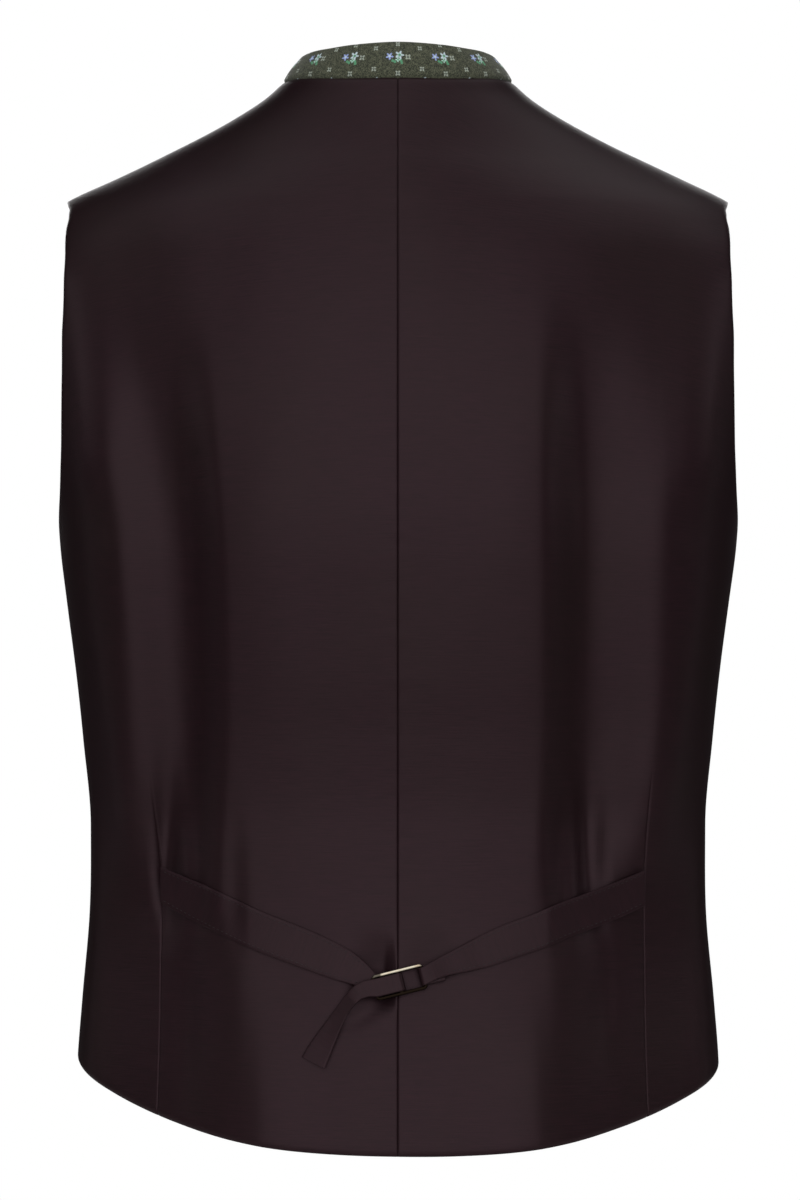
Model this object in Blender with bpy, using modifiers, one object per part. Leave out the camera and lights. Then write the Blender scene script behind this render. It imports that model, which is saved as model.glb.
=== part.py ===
# A trachten vest seen as if worn, with no wearer: satin back halves with a cinch belt,
# jacquard fronts and a jacquard stand collar. The wearer faces -Y, their left side is +X,
# and the origin is midway between the points where the shoulder seams meet the collar.
# Sizes below are millimetres; the meshes are in metres.
import math
from functools import lru_cache

import bpy
import numpy as np
from mathutils import Matrix, Vector
from mathutils.bvhtree import BVHTree

MM = 0.001

# ---- cloth and seams ----
BACK_WALL = 1.6
FRONT_WALL = 2.0
COLLAR_WALL = 2.4
BELT_WALL = 1.2
SEAM_GAP = 0.3          # every piece keeps this to its neighbour
CENTRE_SEAM_DIP = 0.7   # the centre back seam lies a little lower than the cloth beside it
DART_DIP = 1.1          # and so does each dart's stitching

# ---- the body's sections: a half ellipse of its own power behind and in front ----
SECTIONS = (            # z, half width, back depth, back power, front depth, front power
    (8.0, 58.0, 51.0, 2.10, 61.4, 1.70),
    (0.0, 66.0, 56.0, 2.00, 62.0, 1.65),
    (-10.0, 77.2, 61.5, 1.80, 62.5, 1.58),
    (-22.0, 96.0, 68.0, 1.63, 63.7, 1.42),
    (-34.0, 118.5, 74.0, 1.53, 65.2, 1.34),
    (-45.0, 140.5, 79.5, 1.50, 66.8, 1.31),
    (-57.0, 166.0, 85.5, 1.54, 68.6, 1.36),
    (-68.4, 190.0, 90.0, 1.63, 70.4, 1.46),
    (-74.0, 198.6, 92.0, 1.69, 72.2, 1.52),
    (-80.0, 204.8, 94.0, 1.75, 74.8, 1.58),
    (-88.0, 208.9, 97.0, 1.83, 79.8, 1.67),
    (-100.0, 210.8, 101.0, 1.95, 87.6, 1.80),
    (-115.0, 210.2, 105.2, 2.06, 96.6, 1.94),
    (-130.0, 208.9, 109.0, 2.15, 104.6, 2.05),
    (-145.0, 207.4, 111.8, 2.23, 111.4, 2.13),
    (-160.0, 205.5, 114.0, 2.30, 117.2, 2.20),
    (-200.0, 200.9, 118.0, 2.40, 127.6, 2.35),
    (-240.0, 197.2, 118.5, 2.40, 131.2, 2.40),
    (-271.0, 195.2, 116.5, 2.40, 130.2, 2.40),
    (-300.0, 191.6, 112.5, 2.40, 127.5, 2.40),
    (-340.0, 186.6, 106.0, 2.40, 122.5, 2.40),
    (-380.0, 182.3, 98.5, 2.42, 118.0, 2.38),
    (-430.0, 178.0, 93.0, 2.45, 114.5, 2.35),
    (-480.0, 178.6, 94.0, 2.45, 114.0, 2.32),
    (-530.0, 182.8, 100.0, 2.42, 115.5, 2.30),
    (-567.0, 185.6, 105.0, 2.40, 117.5, 2.30),
    (-615.0, 186.0, 109.5, 2.40, 120.0, 2.30),
)
RING_STEPS = 48         # straight runs in each quarter of a section
CLEAR_AWAY = 300.0      # a place well outside the body

# ---- outlines of the pieces ----
SEAM_Y = -8.0           # shoulder and side seams lie just in front of the widest line
SHOULDER_TIP = -68.4
UNDERARM = -271.0
ARMHOLE = (             # z, and the depth of the back's and the front's armhole edge there
    (SHOULDER_TIP, SEAM_Y, SEAM_Y),
    (-70.0, 5.0, -12.0),
    (-73.0, 17.0, -15.5),
    (-79.0, 28.0, -20.5),
    (-88.0, 35.5, -27.0),
    (-100.0, 42.4, -35.0),
    (-118.0, 47.4, -45.0),
    (-145.0, 50.7, -56.0),
    (-175.0, 50.5, -63.0),
    (-200.0, 46.9, -66.0),
    (-222.0, 40.5, -63.0),
    (-240.0, 31.0, -53.0),
    (-255.0, 17.0, -38.0),
    (-265.0, 5.0, -22.0),
    (-269.5, -3.5, -12.0),
    (UNDERARM, SEAM_Y, SEAM_Y),
)
NECK_HALF_WIDTH = 66.0
NECK_BACK_DEPTH = 58.0
NECK_FRONT_DEPTH = 72.0
NECK_LOWEST = -110.0    # the neck seam is looked for between these heights
NECK_HIGHEST = 7.0
HALVINGS = 30
HEM_AT_SIDE = -567.5
BACK_HEM_DROP = 41.0    # how much lower the hem is at the centre back than at the side seam
FRONT_HEM_DROP = 33.0
HEM_TILT = 0.012        # the hem hangs this much lower for each step to the wearer's right
HEM_LEVEL = -590.0      # the section that the hem's bow is measured on
FRONT_OVERLAP = 18.0    # each front reaches this far past the centre line
UNDERLAP_DEPTH = FRONT_WALL + 0.5
UNDERLAP_START = 46.0   # the right front begins to step in at this distance from the centre
UNDERLAP_END = 24.0
FRONT_CORNER = 22.0     # radius of the fronts' lower corners
LOWER_ROWS = 16
UPPER_EDGE_ROWS = (-267.5, -261.0, -250.0, -236.0, -218.0, -197.0, -172.0, -147.0, -122.0, -103.0,
                   -88.0, -79.0, -73.0, -70.0, SHOULDER_TIP, -57.0, -45.0, -34.0, -22.0, -10.0)

# ---- darts: x along each one, from its point down to the hem ----
DART_TOP = -393.0
DARTS = {
    1: ((DART_TOP, 141.0), (-447.0, 134.5), (-520.0, 134.0), (-615.0, 136.5)),
    -1: ((DART_TOP, 143.5), (-447.0, 139.7), (-520.0, 139.5), (-615.0, 142.0)),
}
COLUMNS_TO_DART = 12
COLUMNS_PAST_DART = 6
FRONT_COLUMNS = 11
OVERLAP_SHARES = (0.32, 0.62, 0.86, 1.0)   # a front's columns between the collar's end and its edge

# ---- the largest folds of the back ----
FOLD_FADE_IN = 0.38     # share of a fold's length over which it deepens from its top
FOLD_FADE_OUT = 0.22
FOLD_EASE = 45.0        # folds flatten over this depth before the side seam
FOLDS = (               # x, z at the top, the middle and the foot, half width in and out, and depth
    (122.0, -85.0, 118.5, -330.0, 128.0, -500.0, 27.0, 42.0, 13.0),     # long valleys to the belt
    (-112.0, -60.0, -109.0, -330.0, -101.0, -500.0, 31.0, 44.0, 13.0),
    (174.0, -100.0, 164.0, -310.0, 138.0, -480.0, 40.0, 24.0, -5.0),    # fuller cloth outside them
    (-172.0, -100.0, -163.0, -310.0, -140.0, -480.0, 40.0, 24.0, -4.5),
    (124.0, -400.0, 127.0, -545.0, 129.0, -740.0, 42.0, 70.0, 8.5),     # falling away below the belt
    (160.0, -350.0, 160.0, -545.0, 158.0, -740.0, 50.0, 24.0, 6.0),
    (-120.0, -400.0, -124.0, -545.0, -132.0, -740.0, 40.0, 70.0, 9.0),
    (-160.0, -370.0, -160.0, -545.0, -158.0, -740.0, 50.0, 24.0, 6.0),
    (76.0, -490.0, 74.0, -570.0, 72.0, -740.0, 40.0, 20.0, -2.2),
    (-70.0, -490.0, -74.0, -560.0, -78.0, -740.0, 40.0, 18.0, -2.2),
)

# ---- stand collar ----
COLLAR_END = 8.0        # the collar's ends stop this far from the centre front
COLLAR_TOP_SHARE_X = 56.5 / NECK_HALF_WIDTH
COLLAR_TOP_SHARE_BACK = 51.0 / NECK_BACK_DEPTH
COLLAR_TOP_SHARE_FRONT = 65.0 / NECK_FRONT_DEPTH
COLLAR_HEIGHT = (       # depth of the neck seam, and the collar's rise there
    (-72.0, 17.0),
    (-50.0, 16.0),
    (-20.0, 13.3),
    (8.0, 12.9),
    (20.0, 13.8),
    (31.5, 15.1),
    (43.0, 16.7),
    (51.6, 18.7),
    (58.0, 20.0),
)
COLLAR_END_ROUND = 13.0 # over this length each end rounds down
COLLAR_END_DROP = 0.55  # by this share of its height
COLLAR_BULGE = 0.8
COLLAR_EDGE_SHARE = 0.93

# ---- cinch belt: x, z, width and lift along the middle of each strap ----
LIFT = 0.5 + BELT_WALL / 2             # a strap's middle over the cloth
BAR = 2.2                              # thickness of the buckle's frame
TURN_RADIUS = BAR / 2 + SEAM_GAP + BELT_WALL / 2
OVER_BAR = LIFT + 2 * TURN_RADIUS
LEFT_STRAP = (
    (133.2, -460.6, 18.5, LIFT),
    (121.0, -466.0, 20.0, LIFT),
    (108.0, -471.6, 21.5, LIFT),
    (77.0, -485.2, 21.5, LIFT),
    (54.5, -493.6, 21.0, LIFT),
    (40.0, -499.0, 19.5, LIFT),
    (28.0, -504.6, 15.5, LIFT),
    (20.5, -509.8, 11.5, LIFT),
    (14.2, -514.0, 9.6, LIFT),
)
TAIL = (
    (17.4, -517.2, 9.6, OVER_BAR),
    (21.2, -519.2, 9.8, OVER_BAR - 0.6),
    (25.2, -523.0, 10.2, OVER_BAR - 1.4),
    (29.6, -528.2, 11.0, OVER_BAR - 2.6),
    (34.2, -534.6, 12.2, LIFT + 1.0),
    (38.4, -541.6, 13.2, LIFT + 0.3),
    (42.4, -549.4, 13.8, LIFT),
    (46.0, -557.6, 14.0, LIFT),
)
RIGHT_STRAP = (
    (-138.4, -462.6, 18.5, LIFT),
    (-125.0, -468.0, 19.5, LIFT),
    (-108.5, -474.0, 20.0, LIFT),
    (-92.5, -479.4, 20.0, LIFT),
    (-77.5, -485.4, 20.0, LIFT),
    (-62.5, -490.4, 19.5, LIFT),
    (-47.0, -496.4, 17.5, LIFT),
    (-36.0, -500.4, 14.5, LIFT + 0.8),
    (-27.0, -503.6, 11.6, LIFT + BELT_WALL + 0.5),
    (-20.0, -506.6, 10.0, OVER_BAR - 1.0),
)
STRAP_STEP = 5.0        # length of one straight run of a strap
TURN_STEPS = 8
LEFT_BEHIND = (8.0, 3.0)               # the left strap's places under the frame, from its middle
LEFT_BEFORE = (4.0, 13.6)              # and where it comes back over the frame
RIGHT_BEHIND = (4.0, 11.0)             # the right strap's folded end, from the end bar

# ---- buckle: a flat frame with a middle bar ----
BUCKLE_X = -0.9
BUCKLE_Z = -512.9
BUCKLE_TILT = math.radians(14.0)
BUCKLE_LENGTH = 30.0
BUCKLE_HEIGHT = 14.6
BUCKLE_BAR = 2.0
BUCKLE_EDGE = 0.3       # rounding of its edges
BUCKLE_CORNER = 2.2
CORNER_STEPS = 4

# ---- buttons ----
BUTTON_COUNT = 7
BESIDE_EDGE = 0.05      # just off the line that two faces share
BUTTON_TOP_Z = -94.0
BUTTON_LOW_Z = -548.0
BUTTON_RADIUS = 8.0
BUTTON_DOME = 3.4
BUTTON_RIM = 1.1
BUTTON_STEPS = 16
DOME_STEPS = 4
BUTTON_FOOT = 0.4       # chamfer of its lower edge
BUTTON_SEAT = 0.45      # from the front's cloth to the button's underside

SATIN = ("dark_satin", (0.020, 0.012, 0.013), 0.42, 0.0)
JACQUARD = ("green_jacquard", (0.032, 0.040, 0.026), 0.80, 0.0)
STEEL = ("buckle_steel", (0.55, 0.53, 0.48), 0.25, 1.0)
BUTTON_METAL = ("old_silver", (0.36, 0.33, 0.28), 0.38, 1.0)


def clear_scene():
    for obj in list(bpy.data.objects):
        bpy.data.objects.remove(obj, do_unlink=True)


def smooth_step(share):
    share = min(max(share, 0.0), 1.0)
    return share * share * (3.0 - 2.0 * share)


@lru_cache(maxsize=None)
def row_slopes(table, column):
    """Slope of one column at each row, so a smooth curve can pass through the rows"""
    zs = [row[0] for row in table]
    values = [row[column] for row in table]
    runs = [(values[i + 1] - values[i]) / (zs[i + 1] - zs[i]) for i in range(len(zs) - 1)]
    slopes = [runs[0]]
    for i in range(1, len(runs)):
        before = abs(zs[i] - zs[i - 1])
        after = abs(zs[i + 1] - zs[i])
        if runs[i - 1] * runs[i] <= 0.0:
            slopes.append(0.0)
        else:
            slopes.append((runs[i - 1] * after + runs[i] * before) / (before + after))
    slopes.append(runs[-1])
    return slopes


def along(table, column, z):
    """One column of a table that runs downwards, at height z"""
    zs = [row[0] for row in table]
    i = 0
    while i < len(zs) - 2 and z < zs[i + 1]:
        i += 1
    slopes = row_slopes(table, column)
    step = zs[i + 1] - zs[i]
    t = min(max((z - zs[i]) / step, 0.0), 1.0)
    low, high = table[i][column], table[i + 1][column]
    return ((2 * t**3 - 3 * t**2 + 1) * low + (t**3 - 2 * t**2 + t) * step * slopes[i]
            + (3 * t**2 - 2 * t**3) * high + (t**3 - t**2) * step * slopes[i + 1])


@lru_cache(maxsize=20000)
def half_ring(z):
    """The section at height z from the centre back round +X to the centre front, and its length"""
    width, back, back_power, front, front_power = (along(SECTIONS, c, z) for c in range(1, 6))
    turn = np.linspace(math.pi / 2, 0.0, RING_STEPS + 1)
    x_back = width * np.cos(turn) ** (2 / back_power)
    y_back = back * np.sin(turn) ** (2 / back_power)
    turn = turn[::-1][1:]
    x_front = width * np.cos(turn) ** (2 / front_power)
    y_front = -front * np.sin(turn) ** (2 / front_power)
    x = np.concatenate((x_back, x_front))
    y = np.concatenate((y_back, y_front))
    length = np.concatenate(([0.0], np.cumsum(np.hypot(np.diff(x), np.diff(y)))))
    return x, y, length


def length_at_depth(z, depth):
    x, y, length = half_ring(z)
    return float(np.interp(-depth, -y, length))


def length_at_width(z, width):
    x, y, length = half_ring(z)
    return float(np.interp(width, x[:RING_STEPS + 1], length[:RING_STEPS + 1]))


def on_ring(z, distance):
    """The point at this length round the section; past either centre line it goes on to -X"""
    x, y, length = half_ring(z)
    side = 1.0
    if distance < 0.0:
        distance, side = -distance, -1.0
    elif distance > length[-1]:
        distance, side = 2 * length[-1] - distance, -1.0
    return Vector((side * float(np.interp(distance, length, x)), float(np.interp(distance, length, y)), z))


def outward(z, distance):
    round_it = on_ring(z, distance + 1.0) - on_ring(z, distance - 1.0)
    up = on_ring(z + 1.5, distance) - on_ring(z - 1.5, distance)
    return up.cross(round_it).normalized()


def edge_length(z, column):
    """Length round the section at which the back (column 1) or the front (column 2) ends"""
    depth = SEAM_Y
    if UNDERARM < z < SHOULDER_TIP:
        depth = along(ARMHOLE, column, z)
    return length_at_depth(z, depth)


def dart_length(z, side):
    level = min(z, DART_TOP)
    at_dart = length_at_width(level, along(DARTS[side], 1, level))
    if z <= DART_TOP:
        return at_dart
    return at_dart / edge_length(DART_TOP, 1) * edge_length(z, 1)


def fold_depth(x, z):
    """How far the largest folds push the back in (or, below zero, out) at this place"""
    total = 0.0
    for x_top, z_top, x_mid, z_mid, x_low, z_low, inside, outside, depth in FOLDS:
        if not z_low < z < z_top:
            continue
        line = ((z_top, x_top), (z_mid, x_mid), (z_low, x_low))
        across = (x - along(line, 1, z)) * (1.0 if x_mid > 0.0 else -1.0)
        across = -across / inside if across < 0.0 else across / outside
        if across >= 1.0:
            continue
        share = (z_top - z) / (z_top - z_low)
        fade = smooth_step(min(share / FOLD_FADE_IN, (1.0 - share) / FOLD_FADE_OUT))
        total += depth * fade * (1.0 + math.cos(math.pi * across)) / 2
    return total


def shoulder_seam(z):
    return edge_length(z, 1)


def back_columns(side):
    """Lengths round the section of each of a back half's columns, as functions of z"""
    def column(index):
        def length(z):
            start = SEAM_GAP / 2
            dart = dart_length(z, side)
            end = edge_length(z, 1) - SEAM_GAP / 2
            if index <= COLUMNS_TO_DART:
                return start + (dart - start) * index / COLUMNS_TO_DART
            return dart + (end - dart) * (index - COLUMNS_TO_DART) / COLUMNS_PAST_DART
        return length
    return [column(i) for i in range(COLUMNS_TO_DART + COLUMNS_PAST_DART + 1)]


def front_columns():
    """The same for a front: from its side seam to the collar's end, then to its free edge"""
    def column(share, past_end):
        def length(z):
            start = edge_length(z, 2) + SEAM_GAP / 2
            end = half_ring(z)[2][-1] - COLLAR_END
            return start + (end - start) * share + past_end
        return length
    wide = [column(i / FRONT_COLUMNS, 0.0) for i in range(FRONT_COLUMNS + 1)]
    reach = COLLAR_END + FRONT_OVERLAP
    return wide + [column(1.0, reach * share) for share in OVERLAP_SHARES]


def outside_neck(point):
    depth = NECK_BACK_DEPTH if point.y > 0 else NECK_FRONT_DEPTH
    return (point.x / NECK_HALF_WIDTH) ** 2 + (point.y / depth) ** 2 > 1.0


def neck_height(column):
    """Where a column meets the neck opening, an upright oval cut through the shoulders"""
    low, high = NECK_LOWEST, NECK_HIGHEST
    for _ in range(HALVINGS):
        middle = (low + high) / 2
        if outside_neck(on_ring(middle, column(middle))):
            low = middle
        else:
            high = middle
    return low


def row_heights(hem, top, edge_top):
    """Heights of a column's points; in the edge column they are the rows named above"""
    lower = [hem + (UNDERARM - hem) * i / LOWER_ROWS for i in range(LOWER_ROWS + 1)]
    stretch = (top - UNDERARM) / (edge_top - UNDERARM)
    upper = [UNDERARM + stretch * (z - UNDERARM) for z in UPPER_EDGE_ROWS]
    return lower + upper + [top]


def back_hem(side):
    """Height of a back half's lower edge in each column"""
    def hem(column):
        place = on_ring(HEM_LEVEL, column(HEM_LEVEL))
        depth = max(place.y / along(SECTIONS, 2, HEM_LEVEL), 0.0)
        return HEM_AT_SIDE - BACK_HEM_DROP * depth**2 + HEM_TILT * side * place.x
    return hem


def front_hem(side):
    """The same for a front, with its rounded lower corner"""
    def hem(column):
        length = column(HEM_LEVEL)
        place = on_ring(HEM_LEVEL, length)
        depth = min(place.y / along(SECTIONS, 4, HEM_LEVEL), 0.0)
        free_edge = half_ring(HEM_LEVEL)[2][-1] + FRONT_OVERLAP
        to_corner = max(FRONT_CORNER - (free_edge - length), 0.0)
        rise = FRONT_CORNER - math.sqrt(FRONT_CORNER**2 - to_corner**2)
        return HEM_AT_SIDE - FRONT_HEM_DROP * depth**2 + HEM_TILT * side * place.x + rise
    return hem


def back_relief(side):
    """How folds, the centre seam and the dart move each point of a back half"""
    def relief(point, normal, column, z):
        depth = 0.0
        if column == 0:
            depth += CENTRE_SEAM_DIP
        if column == COLUMNS_TO_DART and z < DART_TOP:
            depth += DART_DIP
        ease = smooth_step((point.y - SEAM_Y) / FOLD_EASE)
        return Vector((0.0, -fold_depth(side * point.x, z) * ease, 0.0)) - normal * depth
    return relief


def front_relief(side):
    """The right front steps in under the left one at the centre"""
    def relief(point, normal, column, z):
        if side > 0:
            return Vector()
        share = (UNDERLAP_START - point.x) / (UNDERLAP_START - UNDERLAP_END)
        return -normal * UNDERLAP_DEPTH * smooth_step(share)
    return relief


def wall_grid(side, columns, hem_of, relief, wall):
    """Outer and inner points of a panel, column by column from the hem to the neck"""
    outer, inner = [], []
    edge_top = neck_height(shoulder_seam)
    for index, column in enumerate(columns):
        top = neck_height(column)
        out_line, in_line = [], []
        for z in row_heights(hem_of(column), top, edge_top):
            distance = column(z)
            point = on_ring(z, distance)
            normal = outward(z, distance)
            point = point + relief(point, normal, index, z)
            beneath = point - normal * wall
            out_line.append(Vector((side * point.x, point.y, point.z)))
            in_line.append(Vector((side * beneath.x, beneath.y, beneath.z)))
        outer.append(out_line)
        inner.append(in_line)
    return outer, inner


def material_of(kind):
    name, colour, roughness, metallic = kind
    if name in bpy.data.materials:
        return bpy.data.materials[name]
    material = bpy.data.materials.new(name)
    material.use_nodes = True
    shader = material.node_tree.nodes["Principled BSDF"]
    shader.inputs["Base Color"].default_value = (*colour, 1.0)
    shader.inputs["Roughness"].default_value = roughness
    shader.inputs["Metallic"].default_value = metallic
    return material


def add_part(name, data, kind, collection):
    part = bpy.data.objects.new(name, data)
    data.materials.append(material_of(kind))
    collection.objects.link(part)
    return part


def mesh_of(name, points, faces):
    """A closed mesh from points in millimetres, turned right side out"""
    mesh = bpy.data.meshes.new(name)
    mesh.from_pydata([point * MM for point in points], [], faces)
    corners = [mesh.vertices[i].co for polygon in mesh.polygons for i in polygon.vertices]
    centre = sum(corners, Vector()) / len(corners)
    volume = 0.0
    for polygon in mesh.polygons:
        first = mesh.vertices[polygon.vertices[0]].co - centre
        for a, b in zip(polygon.vertices[1:], polygon.vertices[2:]):
            volume += first.dot((mesh.vertices[a].co - centre).cross(mesh.vertices[b].co - centre))
    if volume < 0.0:
        mesh.flip_normals()
    mesh.shade_smooth()
    mesh.set_sharp_from_angle(angle=math.radians(40))
    return mesh


def wall_mesh(name, outer, inner):
    """A wall between two grids of points, closed round its four edges"""
    rows = len(outer[0])
    columns = len(outer)
    points = [point for line in outer for point in line] + [point for line in inner for point in line]
    shift = rows * columns
    faces = []
    for i in range(columns - 1):
        for j in range(rows - 1):
            quad = (i * rows + j, (i + 1) * rows + j, (i + 1) * rows + j + 1, i * rows + j + 1)
            faces.append(quad)
            faces.append(tuple(shift + k for k in reversed(quad)))
    rim = [i * rows for i in range(columns)]
    rim += [(columns - 1) * rows + j for j in range(1, rows)]
    rim += [i * rows + rows - 1 for i in range(columns - 2, -1, -1)]
    rim += list(range(rows - 2, 0, -1))
    for here, there in zip(rim, rim[1:] + rim[:1]):
        faces.append((there, here, shift + here, shift + there))
    return mesh_of(name, points, faces)


def loft_mesh(name, sections):
    """A closed loft through sections that all have the same number of points"""
    count = len(sections[0])
    points = [point for section in sections for point in section]
    faces = [tuple(range(count))]
    for i in range(len(sections) - 1):
        for j in range(count):
            k = (j + 1) % count
            faces.append((i * count + k, i * count + j, (i + 1) * count + j, (i + 1) * count + k))
    faces.append(tuple((len(sections) - 1) * count + j for j in reversed(range(count))))
    return mesh_of(name, points, faces)


def panels(collection):
    """The two back halves and the two fronts"""
    made = {}
    for side, word in ((1, "left"), (-1, "right")):
        back = wall_grid(side, back_columns(side), back_hem(side), back_relief(side), BACK_WALL)
        mesh = wall_mesh("back_" + word, *back)
        made["back_" + word] = add_part("back_" + word, mesh, SATIN, collection)
        front = wall_grid(side, front_columns(), front_hem(side), front_relief(side), FRONT_WALL)
        mesh = wall_mesh("front_" + word, *front)
        made["front_" + word] = add_part("front_" + word, mesh, JACQUARD, collection)
    return made


def neck_line():
    """The neck seam's points from the left collar end round the back to the right one"""
    half = []
    for column in front_columns()[FRONT_COLUMNS::-1]:
        height = neck_height(column)
        half.append(on_ring(height, column(height)))
    for column in back_columns(1)[-2:0:-1]:
        height = neck_height(column)
        half.append(on_ring(height, column(height)))
    back = on_ring(neck_height(lambda z: 0.0), 0.0)
    other = [Vector((-point.x, point.y, point.z)) for point in reversed(half)]
    return half + [back] + other


def collar_height(point, to_end):
    height = float(np.interp(point.y, [row[0] for row in COLLAR_HEIGHT], [row[1] for row in COLLAR_HEIGHT]))
    if to_end < COLLAR_END_ROUND:
        height *= 1.0 - COLLAR_END_DROP * (1.0 - to_end / COLLAR_END_ROUND) ** 2
    return height


def collar(collection):
    """The stand collar, lofted along the neck seam with a rounded upper edge"""
    line = neck_line()
    lengths = [0.0]
    for here, there in zip(line, line[1:]):
        lengths.append(lengths[-1] + (there - here).length)
    sections = []
    for point, length in zip(line, lengths):
        height = collar_height(point, min(length, lengths[-1] - length))
        foot = point + Vector((0, 0, SEAM_GAP))
        share_y = COLLAR_TOP_SHARE_BACK if point.y > 0 else COLLAR_TOP_SHARE_FRONT
        head = Vector((foot.x * COLLAR_TOP_SHARE_X, foot.y * share_y, foot.z + height))
        inward = Vector((-foot.x / NECK_HALF_WIDTH**2, -foot.y / NECK_FRONT_DEPTH**2, 0)).normalized()
        middle = (foot + head) / 2 - inward * COLLAR_BULGE
        near_top = foot.lerp(head, COLLAR_EDGE_SHARE)
        rim = head + inward * (COLLAR_WALL / 2)
        sections.append([foot, middle, near_top, rim, near_top + inward * COLLAR_WALL,
                         middle + inward * COLLAR_WALL, foot + inward * COLLAR_WALL])
    return add_part("collar", loft_mesh("collar", sections), JACQUARD, collection)


def cloth_tree(parts):
    """A tree of the panels' faces in millimetres, to lay things on"""
    points, faces = [], []
    for part in parts:
        shift = len(points)
        points += [vertex.co / MM for vertex in part.data.vertices]
        faces += [tuple(shift + i for i in polygon.vertices) for polygon in part.data.polygons]
    return BVHTree.FromPolygons(points, faces)


def plain_back(x, z):
    """The back's surface without folds"""
    length = length_at_width(z, abs(x))
    point = on_ring(z, length)
    normal = outward(z, length)
    side = 1.0 if x >= 0 else -1.0
    return Vector((x, point.y, z)), Vector((side * normal.x, normal.y, normal.z))


def rest_on_back(tree, x, z, lift):
    """A place on the back for a strap's point: it spans valleys and clears ridges"""
    place, normal = plain_back(x, z)
    hit = tree.ray_cast(Vector((x, CLEAR_AWAY, z)), Vector((0, -1, 0)))[0]
    place.y = max(place.y, hit.y)
    return place + normal * lift, normal


def resample(rows, step):
    """Points at even steps along a table of x, z, width and lift, on a smooth curve"""
    lengths = [0.0]
    for here, there in zip(rows, rows[1:]):
        lengths.append(lengths[-1] - math.hypot(there[0] - here[0], there[1] - here[1]))
    table = tuple((length, *row) for length, row in zip(lengths, rows))
    count = max(round(-lengths[-1] / step), 2)
    return [tuple(along(table, c, lengths[-1] * i / count) for c in range(1, 5)) for i in range(count + 1)]


def ribbon_section(middle, across, normal, width):
    """Six corners of a flat strap: three on its outer face and three beneath"""
    edge = across * (width / 2)
    rise = normal * (BELT_WALL / 2)
    return [middle - edge + rise, middle + rise, middle + edge + rise,
            middle + edge - rise, middle - rise, middle - edge - rise]


def strap_sections(tree, rows, turned=False):
    """Sections of a strap that lies on the back, each point across resting by itself"""
    spots = resample(rows, STRAP_STEP)
    face = -1.0 if turned else 1.0
    sections = []
    for i, (x, z, width, lift) in enumerate(spots):
        before, after = spots[max(i - 1, 0)], spots[min(i + 1, len(spots) - 1)]
        run = Vector((after[0] - before[0], 0.0, after[1] - before[1])).normalized()
        across = Vector((run.z, 0.0, -run.x)) * face
        upper, lower = [], []
        for share in (-0.5, 0.0, 0.5):
            spot = across * (width * share)
            place, normal = rest_on_back(tree, x + spot.x, z + spot.z, lift)
            upper.append(place + normal * (face * BELT_WALL / 2))
            lower.append(place - normal * (face * BELT_WALL / 2))
        sections.append(upper + lower[::-1])
    return sections


def buckle_axes():
    """Middle of the buckle's frame, and its directions to the left end, up and out"""
    plain, normal = plain_back(BUCKLE_X, BUCKLE_Z)
    to_left = Vector((math.cos(BUCKLE_TILT), 0.0, -math.sin(BUCKLE_TILT)))
    to_left = (to_left - normal * to_left.dot(normal)).normalized()
    middle = plain + normal * (LIFT + TURN_RADIUS)
    return middle, to_left, to_left.cross(normal), normal


def turn_sections(centre, toward, across, normal, width, face):
    """Sections of a strap that turns half round a bar, from behind it or (face 1) from before it"""
    sections = []
    for i in range(TURN_STEPS + 1):
        angle = math.pi * i / TURN_STEPS
        out = normal * (face * math.cos(angle)) + toward * math.sin(angle)
        sections.append(ribbon_section(centre + out * TURN_RADIUS, across, out * face, width))
    return sections


def left_belt(tree, collection):
    """The left strap: along the back, behind the frame, round the middle bar and down as a tail"""
    middle, to_left, up, normal = buckle_axes()
    width = LEFT_STRAP[-1][2]
    behind = middle - normal * TURN_RADIUS
    before = middle + normal * TURN_RADIUS
    sections = strap_sections(tree, LEFT_STRAP)
    sections += [ribbon_section(behind + to_left * d, up, normal, width) for d in LEFT_BEHIND]
    sections += turn_sections(middle, -to_left, up, normal, width, -1.0)
    sections += [ribbon_section(before + to_left * d, up, -normal, width) for d in LEFT_BEFORE]
    sections += strap_sections(tree, TAIL, turned=True)
    return add_part("belt_left", loft_mesh("belt_left", sections), SATIN, collection)


def right_belt(tree, collection):
    """The right strap: along the back, over the frame's end bar and folded back behind it"""
    middle, to_left, up, normal = buckle_axes()
    width = RIGHT_STRAP[-1][2]
    bar = middle - to_left * (BUCKLE_LENGTH / 2 - BUCKLE_BAR / 2)
    behind = bar - normal * TURN_RADIUS
    sections = strap_sections(tree, RIGHT_STRAP)
    sections += turn_sections(bar, to_left, -up, normal, width, 1.0)
    sections += [ribbon_section(behind - to_left * d, -up, -normal, width) for d in RIGHT_BEHIND]
    return add_part("belt_right", loft_mesh("belt_right", sections), SATIN, collection)


def add_loop(curve, half_length, half_height, centre, corner):
    """A closed round-cornered rectangle in a flat curve"""
    points = []
    for turn in range(4):
        x = (half_length - corner) * (1 if turn in (0, 3) else -1)
        y = (half_height - corner) * (1 if turn in (0, 1) else -1)
        for i in range(CORNER_STEPS + 1):
            angle = math.pi / 2 * (turn + i / CORNER_STEPS)
            points.append((centre + x + corner * math.cos(angle), y + corner * math.sin(angle)))
    spline = curve.splines.new("POLY")
    spline.points.add(len(points) - 1)
    for point, (x, y) in zip(spline.points, points):
        point.co = (x * MM, y * MM, 0.0, 1.0)
    spline.use_cyclic_u = True


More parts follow.
